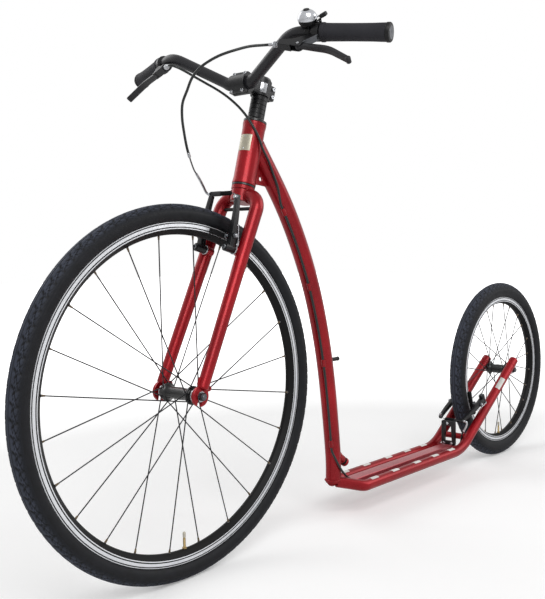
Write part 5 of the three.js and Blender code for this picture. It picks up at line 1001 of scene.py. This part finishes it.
def lever(name, sign):
    """A clamp round the bar with a body that holds the blade and the barrel adjuster."""
    def plate(outline, thickness, shift=0, edge=0.5):
        return slab(outline, thickness, GRIP_START + LEVER_HINGE * shift, GRIP_WAY, LEVER_DOWN, edge)

    def pin(centre, half, radius, facets, edge=0.4):
        return rod(centre - LEVER_HINGE * half, centre + LEVER_HINGE * half, radius, facets, edge)

    clamp = [(11.2, -15), (16, -15), (16.5, -14.4), (16.5, -3.6), (16, -3), (11.2, -3)]
    cheek = [(-3.5, 12), (-25, 34)] + arc(-33, 38, 8, 0, 90, 8)
    cheek += [(-47, 43.6), (-47, 26.5), (-40, 24), (-15, 12)]
    inner = [(-46, 46), (-72, 41), (-72, 29), (-46, 26.5)]
    web = [(-3.5, 12), (-26, 34), (-26, 24), (-15, 12)]
    # Painted highlight: a dull steel strip along the body's front edge stands in for light on its bevel.
    bevel_painted_highlight = [(-3.2, 12.6), (-1.8, 13.8), (-24.4, 35.6), (-25.8, 34.2)]
    pivot, tip = at_lever(-33, 38), at_lever(72, 75)
    lug = at_lever(-9, -16) + LEVER_HINGE * 4
    cheeks = [plate(cheek, 2.5, shift) for shift in (-5.75, 5.75)]
    looks = [(BLACK, turned(clamp, GRIP_START, GRIP_WAY, 64), *cheeks, plate(inner, 14, 0, 0.9),
              plate(web, 9)), (DULL_STEEL, plate(bevel_painted_highlight, 13.4)),
             (STEEL, pin(pivot, 7.4, 2.6, 24), bolt(lug, -LEVER_DOWN, 2.6, 1.6))]
    steering(f"lever_{name}_body", looks, f"lever_bracket_{name}", "black_metal", crease=32, sign=sign)

    def paddle(share):
        wide = 4 + 2.6 * math.sin(math.pi * min(share / 0.62, 1) / 2)
        return rounded(wide, -5 + 1.8 * share, 5 - 1.8 * share, 1.9, 4)

    line = bent([pivot, at_lever(28, 48), tip], [70], math.radians(2))
    shapes = [sweep(even(line, 60), paddle, LEVER_HINGE), pin(pivot, 4, 7, 36, 0.6),
              pin(tip, 6.4, 4.6, 32, 1.4)]
    steering(f"lever_{name}_blade", [(BAR_BLACK, *shapes)], f"lever_blade_{name}", "black_metal",
             body=f"{name}_lever", sign=sign)
    start, teeth = at_lever(-72.3, ADJUSTER_DROP), 14
    barrel = [(0, 0), (3.6, 0), (3.6, 3.6), (5, 4), (5, 9.6), (4.6, 10.2), (3.4, 12), (0, 12)]
    edges = [start + 4.95 * polar(360 * k / teeth, LEVER_DOWN, LEVER_HINGE) for k in range(teeth)]
    ribs = [rod(edge - GRIP_WAY * 4.2, edge - GRIP_WAY * 9.4, 0.55, 8) for edge in edges]
    steering(f"adjuster_{name}_barrel", [(STEEL, turned(barrel, start, -GRIP_WAY, 40), *ribs)],
             f"barrel_adjuster_{name}", "steel", sign=sign)


def at_bell(out, height, side=0):
    return GRIP_START + GRIP_WAY * (out - 24) + BELL_UP * height + BELL_SIDE * side


def bell():
    """A clamp with a base, the dome on its stud, and the sprung hammer between two ears."""
    foot, hinge = at_bell(0, 0), (22, 21.6)
    clamp = [(11.2, -4), (13.6, -4), (14, -3.5), (14, 3.5), (13.6, 4), (11.2, 4)]
    bowl = [(0, 11), (8, 11.2), (13.6, 13.6), (16.6, 18.4), (17.2, 23.3), (16.2, 23.3), (13, 17), (7, 14.6),
            (0, 14.4)]
    arm = [(6, -5), (24, -5), (25, -4), (25, 4), (24, 5), (6, 5)]
    ear = [(19.4, 16.6), (24.6, 16.6)] + arc(*hinge, 2.4, 0, 180, 10)
    ears = [slab(ear, 1.3, at_bell(0, 0, side), GRIP_WAY, BELL_UP, 0.3) for side in (-4.5, 4.5)]
    looks = [(PLASTIC, turned(clamp, foot, GRIP_WAY, 64), rod(at_bell(0, 12), at_bell(0, 15.5), 6, 36),
              turned(bowl, foot, BELL_UP, 64), slab(arm, 1.8, at_bell(0, 16.6), GRIP_WAY, BELL_SIDE, 0.4),
              *ears),
             (STEEL, rod(at_bell(0, 15.5), at_bell(0, 40), 2, 20),
              rod(at_bell(*hinge, -5.2), at_bell(*hinge, 5.2), 1.4, 20),
              bolt(at_bell(0, -13.5) + GRIP_AHEAD * 0.1, -BELL_UP, 2.4, 2))]
    steering("bell_mount", looks, "bell_clamp", "black_plastic")
    quarter = np.radians(np.arange(0, 91, 5))[:, None]
    inside = [0, 24] + np.hstack([np.sin(quarter), np.cos(quarter)]) * [16.4, 15.6]
    outside = [0, 24.3] + np.hstack([np.cos(quarter), np.sin(quarter)]) * [18, 17.2]
    dome = np.concatenate([inside, [(17.7, 23.9)], outside])
    dome[[0, -1], 0] = 0
    cap = [(0, 40.2), (5.9, 40.2), (6, 41.1), (5.2, 42), (0, 42.3)]
    looks = [(DOME, turned(dome, foot, BELL_UP, 96)), (PLASTIC, turned(cap, foot, BELL_UP, 40))]
    steering("bell_shell", looks, "bell_dome", "bell_metal", crease=50)
    thumb = [(4, -3.4), (8, -5.2), (16.5, -5.2), (18, -3.8), (18, 3.8), (16.5, 5.2), (8, 5.2), (4, 3.4)]
    spring = smooth([at_bell(24.3, 22.2), at_bell(25.2, 25.6), at_bell(24.4, 28.6), at_bell(21.6, 29.2)], 24)
    hub = washer(at_bell(*hinge, -3.3), BELL_SIDE, 1.7, 2.9, 6.6, 32)
    looks = [(PLASTIC, hub, tube(spring, 1.4, 1.1, 12),
              slab(thumb, 7, at_bell(21, 26.5), GRIP_WAY * 15 + BELL_UP * 7.5, BELL_SIDE, 1.4)),
             (STEEL, ball(at_bell(20.2, 29.2), 2.2, 20))]
    steering("bell_hammer_tab", looks, "bell_striker", "black_plastic", body="bell_hammer")


fork()
spacers()
stem()
handlebar()
for side_name, side_sign in SIDES:
    grip(side_name, side_sign)
    lever(side_name, side_sign)
bell()


# Rim brakes. A brake's frame has its origin on the axle, X along the pivots and Z outwards.

PAD_AHEAD, LINK_HEIGHT, LINK_REACH = 13.5, 109.8, 40.5
BRAKES = {
    "front": dict(matrix=STEER @ frame_of(X * FORK_OFFSET, X, Y, Z), pivot=FRONT_PIVOT - X * FORK_OFFSET,
                  pad=308.55, sides=SIDES, fixed="steering",
                  noodle=[(43, 2.7, 28.2), (28, 4, 18.5), (15, 6, 9.5), (5, 7.5, 2.5)]),
    "rear": dict(matrix=frame_of(REAR_AXLE, PIVOT_WAY, -Y, PIVOT_OUT), pivot=REAR_PIVOT,
                 pad=200.55, sides=(("right", 1), ("left", -1)), fixed="frame",
                 noodle=[(-22.6, 0.5, 10), (-15, 5.5, 6.5), (-7, 9, 3), (-1.5, 8.5, 0.7)]),
}
for brake in BRAKES.values():
    brake["link"] = vec(brake["pivot"][0] + PAD_AHEAD, 0, brake["pivot"][2] + LINK_HEIGHT)


def brake_arm(b):
    """A tapered arm on its pivot boss, with a coil spring whose tail rests on the arm."""
    pivot = b["pivot"]
    s = np.linspace(0, 1, 25)
    centres = pivot + np.stack([PAD_AHEAD + 0 * s, 3 * np.sin(math.pi * s) - 4 * s, 105 * s], 1)
    arm = loft(centres, [rounded(7 - 2.5 * t, 2 * t - 6.5, 6.5 - 2 * t, 1.8, 4) for t in s], Y, X)
    tail = [pivot + vec(3, 7.6, 2), pivot + vec(3, 9, 10), pivot + vec(5, 7.4, 34), pivot + vec(7, 5.8, 46)]
    t = np.linspace(0, 2 * TAU, 64)
    coil = pivot + np.stack([1.6 + 1.1 * t / TAU, 8.6 * np.cos(t), 8.6 * np.sin(t)], 1)
    return [(BLACK, arm, rod(pivot + X * 0.3, pivot + X * 27, 8, 44, 0.9)),
            (DULL_STEEL, bolt(pivot + X * 26.8, X, 4.6, 3)),
            (GLOSS_BLACK, washer(pivot + X * 26.6, X, 0, 6.4, 0.9, 36)),
            (STEEL, tube(smooth(tail, 24), 0.9, count=10), tube(coil, 0.8, count=8),
             rod(pivot + vec(7, 6, 46), pivot + vec(11, 6, 46), 1.4, 14))]


def pad_shape(b):
    """The brake block follows the rim's arc, with three cross grooves on its wearing face."""
    rows, radius = 41, b["pad"]
    x = b["pivot"][0] + PAD_AHEAD + np.linspace(-34, 34, rows)
    place = np.stack([x, 0 * x, np.sqrt(radius ** 2 - x ** 2)], 1)[:, None]
    cut, end = np.zeros((rows, 1)), np.ones((rows, 1))
    cut[[12, 13, 20, 21, 28, 29]], end[[0, -1]] = 1.3, 0.9
    y = np.array([13.7, 14.3, 21.7, 22.7, 22.7, 21.7, 14.3, 13.7]) + cut * [1, 1, 0, 0, 0, 0, 1, 1]
    h = np.array([-3.9, -4.5, -4.5, -3.5, 3.5, 4.5, 4.5, 3.9]) * end
    return skin(place * (1 + h[..., None] / radius) + Y * y[..., None])


def brake_pad(b):
    """The block on its post, with a cupped washer on each side of the arm and a nut."""
    x = b["pivot"][0] + PAD_AHEAD
    at = vec(x, 0, math.sqrt(b["pad"] ** 2 - x * x))
    return [(PAD_RUBBER, pad_shape(b)), (STEEL, rod(at + Y * 20, at + Y * 54, 3.1, 24)),
            (DULL_STEEL, washer(at + Y * 26.5, Y, 3, 6.5, 2.2, 32, 6.1),
             nut(at + Y * 47.6, at + Y * 52.4, 5.6)),
            (BLACK, washer(at + Y * 45.4, Y, 3, 6.2, 2, 32, 6.5))]


def brake_link(b):
    """The folded bracket that holds the noodle's end over the arm."""
    at, far, near = b["link"], -LINK_REACH, -10.2
    walls = [box(at + vec(x, far, -4.5), at + vec(x + 1, near, 4.5), 0.3) for x in (-2, 1)]
    return [(BLACK, *walls, box(at + vec(-2, far, 3.4), at + vec(2, near, 4.6), 0.3)),
            (DULL_STEEL, washer(at + Y * far, Y, 2.6, 4.3, 1.4)),
            (GLOSS_BLACK, rod(at + vec(-3.2, -36, -5.8), at + vec(3.2, -36, -5.8), 2.2, 20))]


def brake_boot(b):
    fold = ((4.6, 0), (4.6, 1.5), (3.1, 2.6), (3.1, 3.5))
    folds = [(r, 2 + 4.6 * i + h) for i in range(5) for r, h in fold]
    profile = [(0, 0), (4.3, 0)] + folds + [(4.2, 25), (3, 27), (0, 27)]
    return [(PAD_RUBBER, turned(profile, b["link"] - Y * 9.7, Y, 36))]


def brake_anchor(b):
    """The bare wire from the boot to the other arm, with its clamp bolt."""
    at = b["link"]
    hub = vec(at[0], 36, b["pivot"][2] + 100)
    places = at + vec(0, 12, 0, 0, 22, -1, 3, 33, -5, 5, 38, -11).reshape(-1, 3)
    return [(WIRE, tube(smooth(places, 24), 0.9, count=10)),
            (STEEL, rod(hub + X * 3, hub + X * 8.4, 4.2, 6, 0.5)),
            (DULL_STEEL, rod(hub + X * 2, hub + X * 5.2, 5.4, 28))]


CABLE_R = 2.5


def noodle_points(b):
    end = b["link"] - Y * 40.8
    return [end + vec(x, -y, z) for x, y, z in b["noodle"]] + [end - Y * 5.5, end]


def noodle(b):
    line = smooth(noodle_points(b), 70)
    return [(STEEL, tube(line, CABLE_R, count=20), rod(line[-8], line[-1], 3.1, 24))]


for brake_name, brake in BRAKES.items():
    for side_name, side_sign in brake["sides"]:
        clamped = brake_anchor(brake) if side_sign > 0 else []
        for kind, rows, slot_name in (("arm", brake_arm(brake) + clamped, "black_metal"),
                                      ("pad", brake_pad(brake), "black_rubber")):
            add(f"{brake_name}_brake_{kind}_{side_name}_set", f"{brake_name}_{side_name}_arm", rows,
                f"{brake_name}_brake_{kind}_{side_name}", slot_name, sign=side_sign, matrix=brake["matrix"])
    carrier = f"{brake_name}_{brake['sides'][1][0]}_arm"
    for kind, rows, slot_name, carried_by in (("link", brake_link(brake), "black_metal", carrier),
                                              ("boot", brake_boot(brake), "black_rubber", carrier),
                                              ("noodle", noodle(brake), "steel", brake["fixed"])):
        add(f"{brake_name}_brake_{kind}_set", carried_by, rows, f"{brake_name}_brake_{kind}", slot_name,
            matrix=brake["matrix"])


# Cables, each from its barrel adjuster to its noodle. A route is a table of places.

FRONT_ROUTE = vec(133, 130, 637, 151, 113, 629, 171, 98, 615, 185, 77, 602, 193, 60, 590, 197, 42, 577,
                  196, 25, 561, 188, 8, 543, 180, -8, 523, 167, -18, 502, 149, -26, 479,
                  127, -34, 454).reshape(-1, 3)
UPPER_ROUTE = vec(131, -130, 637, 123, -117, 634, 105, -109, 631, 84, -104, 628, 65, -92, 622, 51, -72, 612,
                  42, -45, 596, 34, -14, 573, 26, 11, 548, 10, 24, 523, -8, 27, 500, -31, 26, 482,
                  -52, 23, 464, -75, 20, 443).reshape(-1, 3)
TUBE_ROUTE_SHARES = vec(0.7805, 0.7152, 0.628, 0.538, 0.457, 0.38, 0.321, 0.2257, 0.139, 0.109)
DECK_ROUTE = vec(125.5, 20, 140, 110, 21, 116, 92, 19, 99, 75, 13, 88.5, 66, 16.8, 81.5, 58, 21, 74,
                 42, 23.5, 70.3, 10, 23, 69.4, -121, 23, 69, -249, 23, 69, -335, 23, 68, -362, 23, 65,
                 -384, 23, 65, -396.5, 23.5, 70, -400, 25, 81, -399, 28.5, 93).reshape(-1, 3)
FERRULE_R = 3.0


def noodle_end(b, reach):
    """A place straight out of the noodle's open end, in the brake's frame."""
    first, second = noodle_points(b)[:2]
    return first + unit(first - second) * reach


def to_steering(point):
    return STEER[:3, :3].T @ (point - STEER_FOOT)


def from_frame(matrix, point):
    return matrix[:3, :3] @ point + matrix[:3, 3]


def cable(line):
    return tube(line, CABLE_R, count=20)


def cables():
    lever_end, bare = at_lever(-84.6, ADJUSTER_DROP), 232
    ends = [noodle_end(BRAKES["front"], reach) + X * FORK_OFFSET for reach in (9, 0.3)]
    line = smooth([lever_end, *FRONT_ROUTE, *ends], 260)
    ferrules = [rod(line[bare - 5], line[bare + 2], FERRULE_R, 20), rod(line[0], line[5], FERRULE_R, 20)]
    looks = [(CABLE, cable(line[:bare])), (WIRE, tube(line[bare - 2:], 1.5, count=12)), (STEEL, *ferrules)]
    steering("front_cable_run", looks, "front_cable", "cable_cover")

    top, way = cable_on_tube(GUIDE_HEIGHTS[0]), on_down_tube(GUIDE_HEIGHTS[0])[1]
    ends = [to_steering(top + way * reach) for reach in (16.3, 8.3)]
    line = smooth([lever_end * FLIP, *UPPER_ROUTE, *ends], 260)
    looks = [(CABLE, cable(line)), (STEEL, rod(line[0], line[5], FERRULE_R, 20))]
    upper = steering("rear_cable_top_run", looks, "rear_cable_upper", "cable_cover", body=None)
    start, end = (from_frame(STEER, line[i]) * MM for i in (-30, 60))
    tuple(start)
    tuple(end)
    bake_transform(upper)

    heights = TUBE_FOOT[2] + (TUBE_TOP - TUBE_FOOT)[2] * TUBE_ROUTE_SHARES
    ends = [from_frame(BRAKES["rear"]["matrix"], noodle_end(BRAKES["rear"], reach)) for reach in (9, 0.3)]
    line = smooth([top + way * 8, *(cable_on_tube(height) for height in heights), *DECK_ROUTE, *ends], 560)
    looks = [(CABLE, cable(line)), (STEEL, rod(line[-8], line[-1], FERRULE_R, 20))]
    add("rear_cable_low_run", "frame", looks, "rear_cable_lower", "cable_cover")


cables()


# Floor, lights and camera, in metres

def floor(edge):
    """A pale floor that glows a little towards the camera alone, and more with the distance."""
    mat, tree, inputs = new_material("floor_white", {
        "Emission Color": (1, 1, 1, 1), "Base Color": (0.86, 0.86, 0.86, 1), "Roughness": 0.9,
        "Specular IOR Level": 0.1})
    far = shader_node(tree, "VectorMath", {0: object_coordinates(tree)}, operation="LENGTH")["Value"]
    glow = scaled(tree, far, 1.2, 0.5, clamp=True)
    seen = shader_node(tree, "LightPath", {})["Is Camera Ray"]
    level = math_node(tree, "MULTIPLY", math_node(tree, "ADD", glow, 0.22), seen)
    feed(tree, level, inputs["Emission Strength"])
    corners = [(-edge, -edge, 0), (edge, -edge, 0), (edge, edge, 0), (-edge, edge, 0)]
    mesh = bpy.data.meshes.new("floor")
    mesh.from_pydata(corners, [], [range(4)])
    mesh.materials.append(mat)
    obj = bpy.data.objects.new("floor", mesh)
    bpy.context.scene.collection.objects.link(obj)


def lamp(name, place, target, size, power):
    data = bpy.data.lights.new(name, "AREA")
    data.shape, data.size, data.energy = "SQUARE", size, power
    obj = bpy.data.objects.new(name, data)
    obj.location = place
    obj.rotation_euler = (Vector(target) - Vector(place)).to_track_quat("-Z", "Y").to_euler()
    bpy.context.scene.collection.objects.link(obj)


def world(strength, mirrored):
    """A white sky: full to the camera, at one level to mirrors and at another to all else."""
    sky = bpy.data.worlds.new("studio")
    sky.use_nodes = True
    tree = sky.node_tree
    rays = shader_node(tree, "LightPath", {})
    glossy = math_node(tree, "MULTIPLY", rays["Is Glossy Ray"], mirrored)
    seen = math_node(tree, "MAXIMUM", rays["Is Camera Ray"], glossy)
    level = math_node(tree, "ADD", math_node(tree, "MULTIPLY", seen, 1 - strength), strength)
    back = tree.nodes["Background"].inputs
    feed(tree, (1, 1, 1, 1), back["Color"])
    feed(tree, level, back["Strength"])
    bpy.context.scene.world = sky


def camera():
    """The photo's camera, found from both wheels' ellipses."""
    turn, lift, roll = 129.212, 4.352, -0.846
    back = polar(lift, polar(turn, -Y, X), Z)
    right = unit(np.cross(-back, Z))
    up = np.cross(right, -back)
    data = bpy.data.cameras.new("photo_camera")
    data.lens, data.sensor_width, data.clip_end = 53.03, 36, 100
    data.shift_x, data.shift_y = -0.1026, 0.0147
    obj = bpy.data.objects.new("photo_camera", data)
    ways = polar(roll, right, up), polar(roll, up, -right), back
    obj.matrix_world = Matrix(frame_of(vec(1.6277, 1.2460, 0.62747), *ways).tolist())
    bpy.context.scene.collection.objects.link(obj)
    bpy.context.scene.camera = obj


floor(12.0)
lamp("key", (2.2, 2.6, 3.2), (0, 0, 0.4), 2.4, 80)
lamp("fill", (-2.6, 2.2, 2.4), (0, 0, 0.4), 2.6, 40)
lamp("far", (0.5, -3.2, 2.8), (0, 0, 0.5), 2.6, 34)
world(0.42, 0.4)
camera()
bpy.context.scene.view_settings.view_transform = "Standard"
